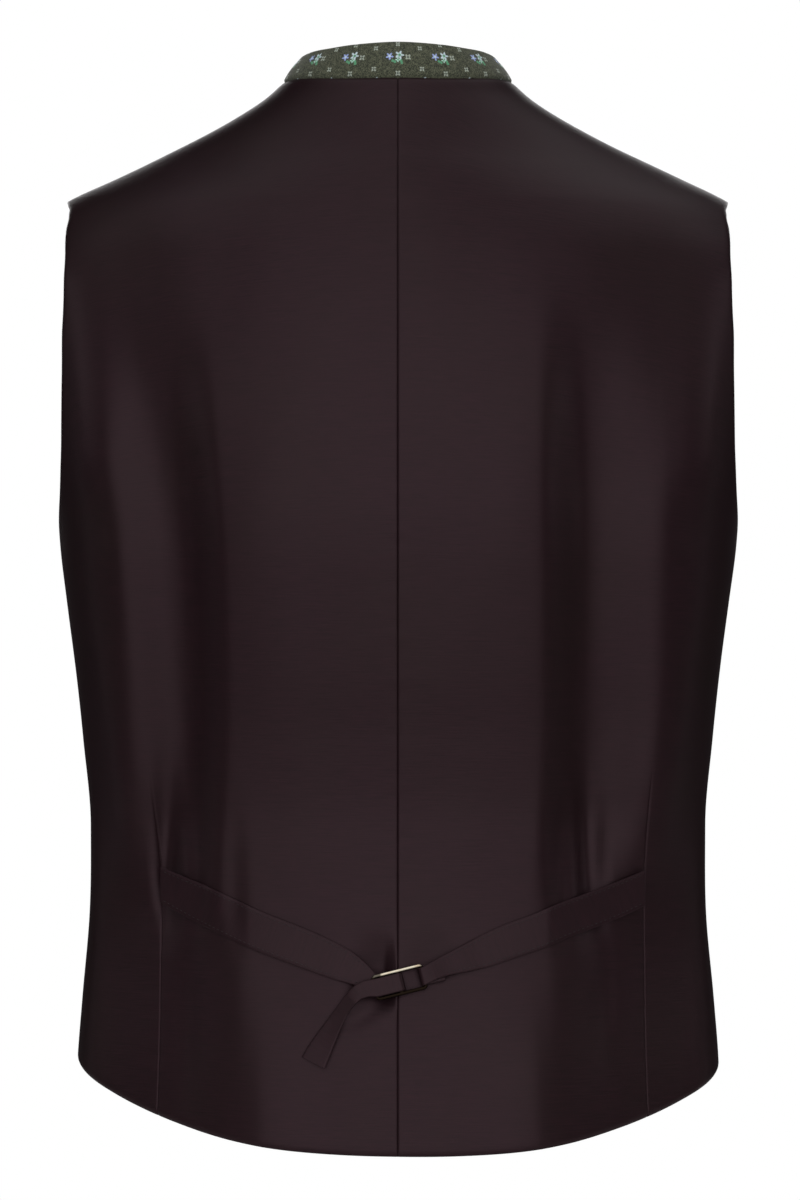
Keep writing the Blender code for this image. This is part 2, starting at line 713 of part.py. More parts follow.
def buckle(collection):
    """The buckle: a flat curve with two slots"""
    curve = bpy.data.curves.new("buckle", "CURVE")
    curve.dimensions = "2D"
    curve.fill_mode = "BOTH"
    curve.extrude = (BAR / 2 - BUCKLE_EDGE) * MM
    curve.bevel_depth = BUCKLE_EDGE * MM
    curve.bevel_resolution = 1
    slot = (BUCKLE_LENGTH - 3 * BUCKLE_BAR) / 2
    grow = BUCKLE_EDGE
    add_loop(curve, BUCKLE_LENGTH / 2 - grow, BUCKLE_HEIGHT / 2 - grow, 0.0, BUCKLE_CORNER)
    for side in (1, -1):
        centre = side * (slot + BUCKLE_BAR) / 2
        add_loop(curve, slot / 2 + grow, BUCKLE_HEIGHT / 2 - BUCKLE_BAR + grow, centre, 1.0)
    part = add_part("buckle", curve, STEEL, collection)
    middle, to_left, up, normal = buckle_axes()
    turn = Matrix((-to_left, up, normal)).transposed()
    part.matrix_world = Matrix.Translation(middle * MM) @ turn.to_4x4()
    return part


def button_profile():
    """A domed button from its top centre down its outer side to its underside's centre"""
    points = []
    for i in range(DOME_STEPS + 1):
        angle = math.pi / 2 * i / DOME_STEPS
        points.append((BUTTON_RADIUS * math.sin(angle), BUTTON_RIM + BUTTON_DOME * math.cos(angle)))
    points.append((BUTTON_RADIUS, BUTTON_FOOT))
    points.append((BUTTON_RADIUS - BUTTON_FOOT, 0.0))
    points.append((0.0, 0.0))
    mesh = bpy.data.meshes.new("button")
    edges = [(i, i + 1) for i in range(len(points) - 1)]
    mesh.from_pydata([(x * MM, 0.0, z * MM) for x, z in points], edges, [])
    return mesh


def buttons(tree, collection):
    """Domed buttons down the centre front, turned from one profile"""
    profile = button_profile()
    for i in range(BUTTON_COUNT):
        z = BUTTON_TOP_Z + (BUTTON_LOW_Z - BUTTON_TOP_Z) * i / (BUTTON_COUNT - 1)
        hit = tree.ray_cast(Vector((BESIDE_EDGE, -CLEAR_AWAY, z)), Vector((0, 1, 0)))[0]
        normal = outward(z, half_ring(z)[2][-1])
        part = bpy.data.objects.new("button_" + str(i + 1), profile)
        collection.objects.link(part)
        screw = part.modifiers.new("turn", "SCREW")
        screw.steps = BUTTON_STEPS
        screw.render_steps = BUTTON_STEPS
        screw.use_merge_vertices = True
        screw.merge_threshold = 0.00001
        part.location = (hit + normal * BUTTON_SEAT) * MM
        part.rotation_euler = normal.to_track_quat("Z", "Y").to_euler()
    profile.materials.append(material_of(BUTTON_METAL))


def main():
    clear_scene()
    collection = bpy.data.collections.new("trachten_vest")
    bpy.context.scene.collection.children.link(collection)
    made = panels(collection)
    collar(collection)
    back_tree = cloth_tree((made["back_left"], made["back_right"]))
    left_belt(back_tree, collection)
    right_belt(back_tree, collection)
    buckle(collection)
    buttons(cloth_tree((made["front_left"],)), collection)


main()
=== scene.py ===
# A trachten vest filled out as if worn, with no wearer: dark satin back halves drawn in by a cinch
# belt, jacquard fronts with domed buttons, and a jacquard stand collar. The wearer faces -Y and
# their left is +X. Lengths in the dictionaries are millimetres, apart from the studio's, and meshes
# are made in metres.
import math

import bmesh
import bpy
import numpy as np
from mathutils import Matrix, Vector
from mathutils.bvhtree import BVHTree


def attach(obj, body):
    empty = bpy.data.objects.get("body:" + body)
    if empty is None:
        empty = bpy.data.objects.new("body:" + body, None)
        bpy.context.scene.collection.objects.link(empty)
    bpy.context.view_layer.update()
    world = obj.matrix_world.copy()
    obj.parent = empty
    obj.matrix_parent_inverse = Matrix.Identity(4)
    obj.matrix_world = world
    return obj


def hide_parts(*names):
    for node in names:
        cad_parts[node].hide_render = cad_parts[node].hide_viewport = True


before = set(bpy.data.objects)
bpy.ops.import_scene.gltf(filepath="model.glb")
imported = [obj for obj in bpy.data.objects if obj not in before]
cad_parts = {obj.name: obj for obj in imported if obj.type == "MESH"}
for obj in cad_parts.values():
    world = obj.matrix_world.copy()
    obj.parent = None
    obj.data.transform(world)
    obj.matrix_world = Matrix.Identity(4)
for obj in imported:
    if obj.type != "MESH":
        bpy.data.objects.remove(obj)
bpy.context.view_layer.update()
mm = 0.001
weld = 0.00001      # metres within which two vertices are one

# the body that the vest is cut for
body = {
    "sections": (       # height, half width, back depth and its power, front depth and its power
        (8.0, 58.0, 51.0, 2.10, 61.4, 1.70),
        (0.0, 66.0, 56.0, 2.00, 62.0, 1.65),
        (-10.0, 77.2, 61.5, 1.80, 62.5, 1.58),
        (-22.0, 96.0, 68.0, 1.63, 63.7, 1.42),
        (-34.0, 118.5, 74.0, 1.53, 65.2, 1.34),
        (-45.0, 140.5, 79.5, 1.50, 66.8, 1.31),
        (-57.0, 166.0, 85.5, 1.54, 68.6, 1.36),
        (-68.4, 190.0, 90.0, 1.63, 70.4, 1.46),
        (-74.0, 198.6, 92.0, 1.69, 72.2, 1.52),
        (-80.0, 204.8, 94.0, 1.75, 74.8, 1.58),
        (-88.0, 208.9, 97.0, 1.83, 79.8, 1.67),
        (-100.0, 210.8, 101.0, 1.95, 87.6, 1.80),
        (-115.0, 210.2, 105.2, 2.06, 96.6, 1.94),
        (-130.0, 208.9, 109.0, 2.15, 104.6, 2.05),
        (-145.0, 207.4, 111.8, 2.23, 111.4, 2.13),
        (-160.0, 205.5, 114.0, 2.30, 117.2, 2.20),
        (-200.0, 200.9, 118.0, 2.40, 127.6, 2.35),
        (-240.0, 197.2, 118.5, 2.40, 131.2, 2.40),
        (-271.0, 195.2, 116.5, 2.40, 130.2, 2.40),
        (-300.0, 191.6, 112.5, 2.40, 127.5, 2.40),
        (-340.0, 186.6, 106.0, 2.40, 122.5, 2.40),
        (-380.0, 182.3, 98.5, 2.42, 118.0, 2.38),
        (-430.0, 178.0, 93.0, 2.45, 114.5, 2.35),
        (-480.0, 178.6, 94.0, 2.45, 114.0, 2.32),
        (-530.0, 182.8, 100.0, 2.42, 115.5, 2.30),
        (-567.0, 185.6, 105.0, 2.40, 117.5, 2.30),
        (-615.0, 186.0, 109.5, 2.40, 120.0, 2.30),
        (-645.0, 186.0, 112.0, 2.40, 121.0, 2.30),
    ),
    "quarterSteps": 90,     # straight runs in a quarter of a section
    "shareSteps": 420,      # even steps round half a section
    "sectionStep": 1.0,     # height between two sections
    "edgeStep": 0.1,        # and between two readings of an edge
}


def smoothStep(share):
    share = np.clip(share, 0.0, 1.0)
    return share * share * (3.0 - 2.0 * share)


def along(table, column, places):
    # a smooth curve through one column of a table, read at places in its first column
    rows = np.array(sorted(table), float)
    known = rows[:, 0]
    values = rows[:, column]
    steps = np.diff(known)
    runs = np.diff(values) / steps
    inner = (runs[:-1] * steps[1:] + runs[1:] * steps[:-1]) / (steps[:-1] + steps[1:])
    inner = np.where(runs[:-1] * runs[1:] <= 0.0, 0.0, inner)
    slopes = np.concatenate((runs[:1], inner, runs[-1:]))
    i = np.clip(np.searchsorted(known, places, side="right") - 1, 0, len(known) - 2)
    t = np.clip((places - known[i]) / steps[i], 0.0, 1.0)
    return ((2 * t**3 - 3 * t**2 + 1) * values[i] + (t**3 - 2 * t**2 + t) * steps[i] * slopes[i]
            + (3 * t**2 - 2 * t**3) * values[i + 1] + (t**3 - t**2) * steps[i] * slopes[i + 1])


def traceSections():
    # half a section at each height, from the centre back round the wearer's left to the centre front
    table = body["sections"]
    heights = np.arange(table[-1][0], table[0][0] + body["sectionStep"] / 2, body["sectionStep"])
    width, back, backPower, front, frontPower = (along(table, c, heights)[:, None] for c in range(1, 6))
    turn = np.linspace(math.pi / 2, 0.0, body["quarterSteps"] + 1)
    cosine = np.clip(np.cos(turn), 0.0, 1.0)
    sine = np.sin(turn)
    x = np.hstack((width * cosine ** (2 / backPower), (width * cosine ** (2 / frontPower))[:, -2::-1]))
    y = np.hstack((back * sine ** (2 / backPower), (-front * sine ** (2 / frontPower))[:, -2::-1]))
    length = np.cumsum(np.hypot(np.diff(x), np.diff(y)), axis=1)
    length = np.hstack((np.zeros((len(heights), 1)), length))
    shares = np.linspace(0.0, 1.0, body["shareSteps"] + 1)
    evenX = np.array([np.interp(shares * run[-1], run, row) for run, row in zip(length, x)])
    evenY = np.array([np.interp(shares * run[-1], run, row) for run, row in zip(length, y)])
    return {"heights": heights, "x": evenX, "y": evenY, "total": length[:, -1], "shares": shares}


sections = traceSections()


def halfRound(z):
    return np.interp(z, sections["heights"], sections["total"])


def onBody(z, length):
    # the point at this height and length round the body; past a centre line it goes on to -X
    z, length = np.broadcast_arrays(np.asarray(z, float), np.asarray(length, float))
    total = halfRound(z)
    side = np.where((length < 0.0) | (length > total), -1.0, 1.0)
    length = np.where(length < 0.0, -length, np.where(length > total, 2 * total - length, length))
    row = (z - sections["heights"][0]) / body["sectionStep"]
    column = length / total * body["shareSteps"]
    i = np.clip(row.astype(int), 0, len(sections["heights"]) - 2)
    j = np.clip(column.astype(int), 0, body["shareSteps"] - 1)
    down, across = row - i, column - j
    x, y = (
        (grid[i, j] * (1 - across) + grid[i, j + 1] * across) * (1 - down)
        + (grid[i + 1, j] * (1 - across) + grid[i + 1, j + 1] * across) * down
        for grid in (sections["x"], sections["y"])
    )
    return np.stack((side * x, y, z), axis=-1)


def outward(z, length, reach=2.0):
    up = onBody(z + reach, length) - onBody(z - reach, length)
    around = onBody(z, length + reach) - onBody(z, length - reach)
    normal = np.cross(up, around)
    return normal / np.linalg.norm(normal, axis=-1, keepdims=True)


# the cut: edges, neck, hem and darts
cut = {
    "seamDepth": -8.0,      # the shoulder and side seams lie just in front of the widest line
    "shoulderTip": -68.4,
    "underarm": -271.0,
    "armhole": (            # height, and the depth of the back's and the front's edge there
        (-68.4, -8.0, -8.0),
        (-70.0, 5.0, -12.0),
        (-73.0, 17.0, -15.5),
        (-79.0, 28.0, -20.5),
        (-88.0, 35.5, -27.0),
        (-100.0, 42.4, -35.0),
        (-118.0, 47.4, -45.0),
        (-145.0, 50.7, -56.0),
        (-175.0, 50.5, -63.0),
        (-200.0, 46.9, -66.0),
        (-222.0, 40.5, -63.0),
        (-240.0, 31.0, -53.0),
        (-255.0, 17.0, -38.0),
        (-265.0, 5.0, -22.0),
        (-269.5, -3.5, -12.0),
        (-271.0, -8.0, -8.0),
    ),
    "neck": (66.0, 58.0, 72.0),     # half width, depth behind and depth before
    "neckRange": (-110.0, 7.0),
    "halvings": 26,
    "hemAtSide": -567.5,
    "backDrop": 41.0,       # the hem hangs this much lower in the middle
    "frontDrop": 33.0,
    "hemTilt": 0.012,       # its rise to a millimetre toward the wearer's left
    "hemLevel": -590.0,     # the section that it is measured on
    "overlap": 18.0,        # each front passes the centre line by this
    "collarEnd": 8.0,       # the collar stops this far before it
    "corner": 22.0,         # radius of the fronts' lower corners
    "dartTop": -393.0,
    "darts": {
        1: ((-393.0, 141.0), (-447.0, 134.5), (-520.0, 134.0), (-645.0, 137.5)),
        -1: ((-393.0, 143.5), (-447.0, 139.7), (-520.0, 139.5), (-645.0, 143.0)),
    },
    "seamGap": -0.06,       # the turned edges press a little into each other
    "rolls": (0.0, 0.3, 0.8, 1.6, 3.2),     # columns and rows this far from an edge carry its turned shape
    "mesh": 2.6,
}


def readEdges():
    # length round the body at which the back (1) and the front (2) end, and where each dart runs; above
    # its top a dart's line goes on at the same share of the back
    low, high = sections["heights"][0], sections["heights"][-1]
    heights = np.arange(low, high + body["edgeStep"] / 2, body["edgeStep"])
    armhole = (heights > cut["underarm"]) & (heights < cut["shoulderTip"])
    rows = (heights - low) / body["sectionStep"]
    i = np.clip(rows.astype(int), 0, len(sections["heights"]) - 2)
    part = (rows - i)[:, None]
    x = sections["x"][i] * (1 - part) + sections["x"][i + 1] * part
    y = sections["y"][i] * (1 - part) + sections["y"][i + 1] * part
    total = halfRound(heights)
    found = {"heights": heights}
    for column in (1, 2):
        depth = np.where(armhole, along(cut["armhole"], column, heights), cut["seamDepth"])
        share = [np.interp(-d, -row, sections["shares"]) for d, row in zip(depth, y)]
        found[column] = np.array(share) * total
    for side, table in cut["darts"].items():
        level = np.minimum(heights, cut["dartTop"])
        width = along(table, 1, level)
        widest = np.argmax(x, axis=1) + 1
        share = [np.interp(w, row[:k], sections["shares"][:k]) for w, row, k in zip(width, x, widest)]
        dart = np.array(share) * total
        top = np.searchsorted(heights, cut["dartTop"])
        above = dart[top] / found[1][top] * found[1]
        found["dart", side] = np.where(heights <= cut["dartTop"], dart, above)
    return found


edges = readEdges()


def edgeAt(key, z):
    return np.interp(z, edges["heights"], edges[key])


def outsideNeck(points):
    wide, back, front = cut["neck"]
    depth = np.where(points[..., 1] > 0, back, front)
    return (points[..., 0] / wide) ** 2 + (points[..., 1] / depth) ** 2 > 1.0


def neckHeight(lengthOf):
    # where each column meets the neck opening, an upright oval cut through the shoulders
    low, high = cut["neckRange"]
    low = lengthOf(low) * 0.0 + low
    high = low * 0.0 + high
    for _ in range(cut["halvings"]):
        middle = (low + high) / 2
        outside = outsideNeck(onBody(middle, lengthOf(middle)))
        low = np.where(outside, middle, low)
        high = np.where(outside, high, middle)
    return low


def rolled(distance, depth, reach=3.2):
    # an edge turns in by depth over its last few millimetres
    return depth * (1.0 - np.clip(distance / reach, 0.0, 1.0)) ** 2


def grooved(distance, depth, reach=1.4):
    # a seam's groove is deeper and narrower
    return depth * (1.0 - np.clip(distance / reach, 0.0, 1.0)) ** 3


def zone(count, startRolls, endRolls):
    # columns of one zone as shares of its width and offsets from there
    inset = cut["rolls"][-1]
    columns = [(0.0, d) for d in cut["rolls"]] if startRolls else [(0.0, 0.0)]
    start = inset if startRolls else 0.0
    end = inset if endRolls else 0.0
    columns += [(i / count, start * (1 - i / count) - end * i / count) for i in range(1, count)]
    columns += [(1.0, -d) for d in reversed(cut["rolls"])] if endRolls else [(1.0, 0.0)]
    return columns


def lengthsAlong(points, axis=0):
    # distance from the first point along a line of points, or along each line of a grid
    step = np.linalg.norm(np.diff(points, axis=axis), axis=-1)
    first = np.zeros_like(np.take(step, [0], axis=axis))
    return np.concatenate((first, np.cumsum(step, axis=axis)), axis=axis)


def spotsOn(line, run, places):
    return np.stack([np.interp(places, run, line[:, i]) for i in range(3)], axis=-1)


def rowPlaces():
    # rows from the hem (0) to the underarm (1), then edge heights up to the shoulder's inner end
    inset = cut["rolls"][-1]
    run = cut["underarm"] - cut["hemAtSide"]
    count = round((run - inset) / cut["mesh"])
    lower = [d / run for d in cut["rolls"]]
    lower += [(inset + (run - inset) * i / count) / run for i in range(1, count + 1)]
    edge = np.arange(cut["underarm"], cut["shoulderTip"] + body["edgeStep"] / 2, body["edgeStep"])
    path = lengthsAlong(np.stack((edge, along(cut["armhole"], 1, edge)), axis=-1))
    count = round(path[-1] / cut["mesh"])
    upper = np.interp(np.linspace(0.0, path[-1], count + 1)[1:], path, edge)
    return np.array(lower), upper


# materials
def toLinear(code):
    # sRGB hex to linear colour
    parts = [int(code[i:i + 2], 16) / 255 for i in (1, 3, 5)]
    return tuple(p / 12.92 if p <= 0.04045 else ((p + 0.055) / 1.055) ** 2.4 for p in parts) + (1.0,)


def addNode(material, kind, settings=None, **links):
    # one node with its settings; links are sockets or values by input name, spaces as underscores
    node = material.node_tree.nodes.new(kind)
    for name, value in (settings or {}).items():
        setattr(node, name, value)
    for name, value in links.items():
        key = int(name[1:]) if name[0] == "i" and name[1:].isdigit() else name.replace("_", " ")
        if isinstance(value, bpy.types.NodeSocket):
            material.node_tree.links.new(value, node.inputs[key])
        else:
            node.inputs[key].default_value = value
    return node


def newMaterial(name, roughness, **settings):
    material = bpy.data.materials.new(name)
    material.use_nodes = True
    shader = material.node_tree.nodes["Principled BSDF"]
    shader.inputs["Roughness"].default_value = roughness
    for key, value in settings.items():
        shader.inputs[key.replace("_", " ")].default_value = value
    return material, shader


def joinShader(material, shader, **sockets):
    for name, socket in sockets.items():
        material.node_tree.links.new(socket, shader.inputs[name.replace("_", " ")])


def calc(material, operation, *values, kind="ShaderNodeMath", output=0):
    # the result of one operation on numbers, vectors or sockets
    inputs = {f"i{i}": value for i, value in enumerate(values)}
    return addNode(material, kind, {"operation": operation}, **inputs).outputs[output]


def vectorCalc(material, operation, *values, output=0):
    return calc(material, operation, *values, kind="ShaderNodeVectorMath", output=output)


def ranged(material, value, low=0.0, high=1.0, toLow=0.0, toHigh=1.0):
    # a value from low to high, spread from toLow to toHigh
    return addNode(material, "ShaderNodeMapRange", {}, Value=value, From_Min=low, From_Max=high,
                   To_Min=toLow, To_Max=toHigh).outputs[0]


def noise(material, place, scale, detail, roughness=0.5):
    return addNode(material, "ShaderNodeTexNoise", {}, Vector=place, Scale=scale, Detail=detail,
                   Roughness=roughness).outputs["Fac"]


def raisedBy(material, height, strength, distance=0.0004):
    return addNode(material, "ShaderNodeBump", {}, Height=height, Strength=strength,
                   Distance=distance).outputs[0]


def layColour(material, under, colour, mask):
    # one colour over another, each a socket, a linear colour or sRGB hex
    under, colour = (toLinear(c) if isinstance(c, str) else c for c in (under, colour))
    mixed = addNode(material, "ShaderNodeMix", {"data_type": "RGBA"}, Factor=mask, i6=under, i7=colour)
    return mixed.outputs[2]


def clothPlace(material):
    return addNode(material, "ShaderNodeUVMap", {"uv_map": "cloth"}).outputs["UV"]


def objectPlace(material):
    return addNode(material, "ShaderNodeTexCoord").outputs["Object"]


satin = {
    "warp": "#200f14",          # brown of the threads that lie on top
    "weft": "#12080b",          # and of those beneath
    "oliveCast": "#18140d",     # a faint cloudiness in the dye
    "roughness": 0.46,
    "gloss": (1.0, 0.69, 0.78, 1.0),    # the floats' own brown shows in the gloss
    "slub": (26.0, 0.9),        # real slubs are 0.3 mm thick, drawn coarser so that they show
    "float": (9.0, 1.1 / 1.7),      # size across the back and up it, as for the slubs and clouds
    "cloud": (1000 / 14, 1000 / 9),
    "slubShare": 0.6,
    "threadRange": (0.34, 0.66),    # the noise's range, and for the clouds also what it is spread over
    "cloudRange": (0.40, 0.68, 0.0, 0.22),
    "bump": 0.22,
}


def stretchedNoise(material, place, size, detail, roughness=0.5):
    # noise of a size in mm across and up the cloth
    scale = (1000 / size[0], 1000 / size[1], 1.0)
    scaled = addNode(material, "ShaderNodeMapping", {}, Vector=place, Scale=scale)
    return noise(material, scaled.outputs[0], 1.0, detail, roughness)


def satinMaterial():
    # viscose satin lining cloth: long floats of thread, with faint slubs across, give a soft low gloss
    material, shader = newMaterial("wovenViscoseSatin", satin["roughness"], Specular_IOR_Level=0.26,
                                   Specular_Tint=satin["gloss"])
    place = clothPlace(material)
    slub = stretchedNoise(material, place, satin["slub"], 3.0, 0.65)
    fine = stretchedNoise(material, place, satin["float"], 1.0)
    cloud = stretchedNoise(material, place, satin["cloud"], 2.0)
    threads = calc(material, "MULTIPLY_ADD", slub, satin["slubShare"], 0.0)
    threads = calc(material, "MULTIPLY_ADD", fine, 1.0 - satin["slubShare"], threads)
    raised = ranged(material, threads, *satin["threadRange"])
    colour = layColour(material, satin["weft"], satin["warp"], raised)
    cast = ranged(material, cloud, *satin["cloudRange"])
    colour = layColour(material, colour, satin["oliveCast"], cast)
    joinShader(material, shader, Base_Color=colour, Normal=raisedBy(material, threads, satin["bump"]))
    return material


jacquard = {
    "ground": "#282c21",
    "groundLight": "#636652",
    "petalWhite": "#ccdde4",
    "petalMint": "#b9e0d2",
    "petalBlue": "#9fb0e6",
    "petalGrey": "#a9b1a4",
    "leaf": "#5a9c74",
    "heart": "#2c3a34",
    "across": 28.0,         # the repeat: posies in a half drop
    "down": 31.0,
    "thread": 0.42,         # woven steps; the cloth's own threads are about half as wide
    "posyAbove": 10.8,      # a posy's middle over the collar's seam
    "mottle": (0.42, 4.0, 0.75),    # its noise: clouds to a millimetre, detail and roughness
    "flecks": 0.50,         # how much single threads differ
    "groundRange": (0.30, 0.78),
    "petalDepth": 0.30,     # how far the gaps between petals cut into a flower, as a share of its radius
    "heartRange": (0.24, 0.38),
    "edge": 0.1,            # half the width of a flower's soft outline
    "roughness": (0.80, 0.55),      # of the ground and of the pattern's floats
    "floatsRise": 0.6,
    "bump": 0.5,
    "posy": (       # centre across and up, radius, petals, turn, colour and heart colour
        (-2.4, -2.0, 1.6, 2, 0.9, "leaf", "leaf"),
        (2.1, -2.3, 1.6, 2, 2.6, "leaf", "leaf"),
        (0.1, -1.0, 1.6, 4, 0.0, "petalMint", "leaf"),
        (1.0, 1.9, 2.8, 5, 0.3, "petalWhite", "leaf"),
        (-5.0, 1.2, 2.4, 5, 1.2, "petalBlue", "petalWhite"),
        (6.1, 0.6, 2.0, 4, 3.14, "petalGrey", "heart"),
        (0.0, -9.0, 1.7, 4, 3.14, "petalGrey", "heart"),
        (0.0, 9.0, 1.7, 4, 3.14, "petalGrey", "heart"),
    ),
}


def flowerMasks(material, place, centre, radius, petals, turn):
    # 1 inside a flower with round petals, and 1 outside its heart
    offset = vectorCalc(material, "SUBTRACT", place, (*centre, 0.0))
    parts = addNode(material, "ShaderNodeSeparateXYZ", {}, Vector=offset)
    far = vectorCalc(material, "LENGTH", offset, output="Value")
    angle = calc(material, "ARCTAN2", parts.outputs[1], parts.outputs[0])
    wave = calc(material, "COSINE", calc(material, "MULTIPLY_ADD", angle, float(petals), turn))
    depth = jacquard["petalDepth"]
    rim = calc(material, "MULTIPLY_ADD", wave, radius * depth, radius * (1.0 - depth))
    inside = ranged(material, calc(material, "SUBTRACT", rim, far), -jacquard["edge"], jacquard["edge"])
    low, high = jacquard["heartRange"]
    return inside, ranged(material, far, radius * low, radius * high)


def jacquardMaterial():
    # wool and silk jacquard: a mottled olive ground with small posies and florets woven in, dull with
    # a slight gloss on the pattern's floats
    material, shader = newMaterial("wovenPosyJacquard", roughness=0.78, Specular_IOR_Level=0.30,
                                   Sheen_Weight=0.15, Sheen_Roughness=0.5)
    inMillimetres = addNode(material, "ShaderNodeVectorMath", {"operation": "SCALE"}, i0=clothPlace(material),
                            Scale=1000.0).outputs[0]
    step = jacquard["thread"]
    woven = vectorCalc(material, "SNAP", inMillimetres, (step, step, 1.0))
    mottle = noise(material, inMillimetres, *jacquard["mottle"])
    flecks = addNode(material, "ShaderNodeTexWhiteNoise", {"noise_dimensions": "2D"}, Vector=woven)
    most = jacquard["flecks"]
    fleck = calc(material, "MULTIPLY_ADD", flecks.outputs["Value"], most, -most / 2)
    ground = calc(material, "ADD", mottle, fleck)
    colour = layColour(material, jacquard["ground"], jacquard["groundLight"],
                       ranged(material, ground, *jacquard["groundRange"]))
    across, down = jacquard["across"], jacquard["down"]
    start = (across / 2 + step / 2, down / 2 - jacquard["posyAbove"] + step / 2, 0.0)
    shifted = vectorCalc(material, "ADD", woven, start)
    floats = 0.0
    for drop in (0.0, 0.5):
        moved = vectorCalc(material, "ADD", shifted, (across * drop, down * drop, 0.0))
        wrapped = vectorCalc(material, "WRAP", moved, (across, down, 1.0), (0.0, 0.0, -1.0))
        place = vectorCalc(material, "SUBTRACT", wrapped, (across / 2, down / 2, 0.0))
        for x, y, radius, petals, turn, petal, heart in jacquard["posy"]:
            inside, ring = flowerMasks(material, place, (x, y), radius, petals, turn)
            fill = layColour(material, jacquard[heart], jacquard[petal], ring)
            colour = layColour(material, colour, fill, inside)
            floats = calc(material, "MAXIMUM", floats, inside)
    rough = ranged(material, floats, 0.0, 1.0, *jacquard["roughness"])
    raised = calc(material, "MULTIPLY_ADD", floats, jacquard["floatsRise"], ground)
    joinShader(material, shader, Base_Color=colour, Roughness=rough,
               Normal=raisedBy(material, raised, jacquard["bump"]))
    return material


buckleMetal = {
    "colour": "#cfc6b2",
    "warm": "#a8875e",
    "tarnishNoise": (160.0, 3.0),       # scale and detail
    "tarnish": (0.45, 0.75, 0.0, 0.55),
    "paintedShadeColour": "#17110c",        # painted shade, a dark brown laid over the lower bars and the left end of the top one
    "up": (math.sin(math.radians(14.0)), 0.0, math.cos(math.radians(14.0))),
    "clearOfShadeUp": (-0.4917, -0.4908),       # metres along up, from full painted shade to none
    "clearOfShadeAcross": (0.0100, 0.0088, 0.15),     # metres to the wearer's left over which the painted shade comes back at the top bar's end, and the least unshaded share beyond
    "scratchNoise": (1800.0, 2.0),
    "scratches": (0.16, 0.36),
}


def buckleMaterial():
    # steel with a nickel plating, a little yellowed, with painted shade making it dark brown everywhere but
    # along its upper edge
    material, shader = newMaterial("nickelPlatedSteel", roughness=0.24, Metallic=1.0)
    place = objectPlace(material)
    tarnish = ranged(material, noise(material, place, *buckleMetal["tarnishNoise"]), *buckleMetal["tarnish"])
    colour = layColour(material, buckleMetal["colour"], buckleMetal["warm"], tarnish)
    height = vectorCalc(material, "DOT_PRODUCT", place, buckleMetal["up"], output="Value")
    across = addNode(material, "ShaderNodeSeparateXYZ", {}, Vector=place).outputs["X"]
    # painted shade: dark below the upper edge and at the left end, so only that edge keeps the metal's own
    # bright colour
    bright = calc(material, "MULTIPLY", ranged(material, height, *buckleMetal["clearOfShadeUp"]),
                  ranged(material, across, *buckleMetal["clearOfShadeAcross"]))
    colour = layColour(material, buckleMetal["paintedShadeColour"], colour, bright)
    scratches = noise(material, place, *buckleMetal["scratchNoise"])
    joinShader(material, shader, Base_Color=colour,
               Roughness=ranged(material, scratches, 0.0, 1.0, *buckleMetal["scratches"]))
    return material


buttonMetal = {
    "colour": "#a39a88",
    "dark": "#4a443a",
    "patinaNoise": (420.0, 4.0),
    "patina": (0.42, 0.68, 0.0, 0.8),
}


def buttonMaterial():
    # cast white metal with an old-silver finish: patina in random dark patches, with a matching bump
    material, shader = newMaterial("oldSilver", roughness=0.38, Metallic=1.0)
    patina = noise(material, objectPlace(material), *buttonMetal["patinaNoise"])
    colour = layColour(material, buttonMetal["colour"], buttonMetal["dark"],
                       ranged(material, patina, *buttonMetal["patina"]))
    joinShader(material, shader, Base_Color=colour, Normal=raisedBy(material, patina, 0.25, 0.0003))
    return material


def threadMaterial(name, code):
    # twisted polyester sewing thread, with a slight gloss along each stitch
    material, shader = newMaterial(name, roughness=0.55, Specular_IOR_Level=0.4)
    twist = noise(material, objectPlace(material), 2500.0, 1.0)
    light = tuple(min(c * 1.5, 1.0) for c in toLinear(code)[:3]) + (1.0,)
    joinShader(material, shader, Base_Color=layColour(material, code, light, twist))
    return material


satinCloth = satinMaterial()
jacquardCloth = jacquardMaterial()
nickel = buckleMaterial()
oldSilver = buttonMaterial()
brownThread = threadMaterial("brownSewingThread", "#170f12")
greenThread = threadMaterial("greenButtonholeThread", "#4c5546")
print("materials ready")


# making pieces
def addObject(name, data):
    item = bpy.data.objects.new(name, data)
    bpy.context.scene.collection.objects.link(item)
    return item


def addPiece(mesh, materials, node):
    for material in materials:
        mesh.materials.append(material)
    piece = addObject(mesh.name, mesh)
    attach(piece, "root")
    if node:
        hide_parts(node)
    return piece


def meshFrom(bm, name, sharpFrom=None):
    # a smooth mesh, with edges of more than sharpFrom degrees left sharp
    mesh = bpy.data.meshes.new(name)
    bm.to_mesh(mesh)
    bm.free()
    mesh.shade_smooth()
    if sharpFrom:
        mesh.set_sharp_from_angle(angle=math.radians(sharpFrom))
    return mesh


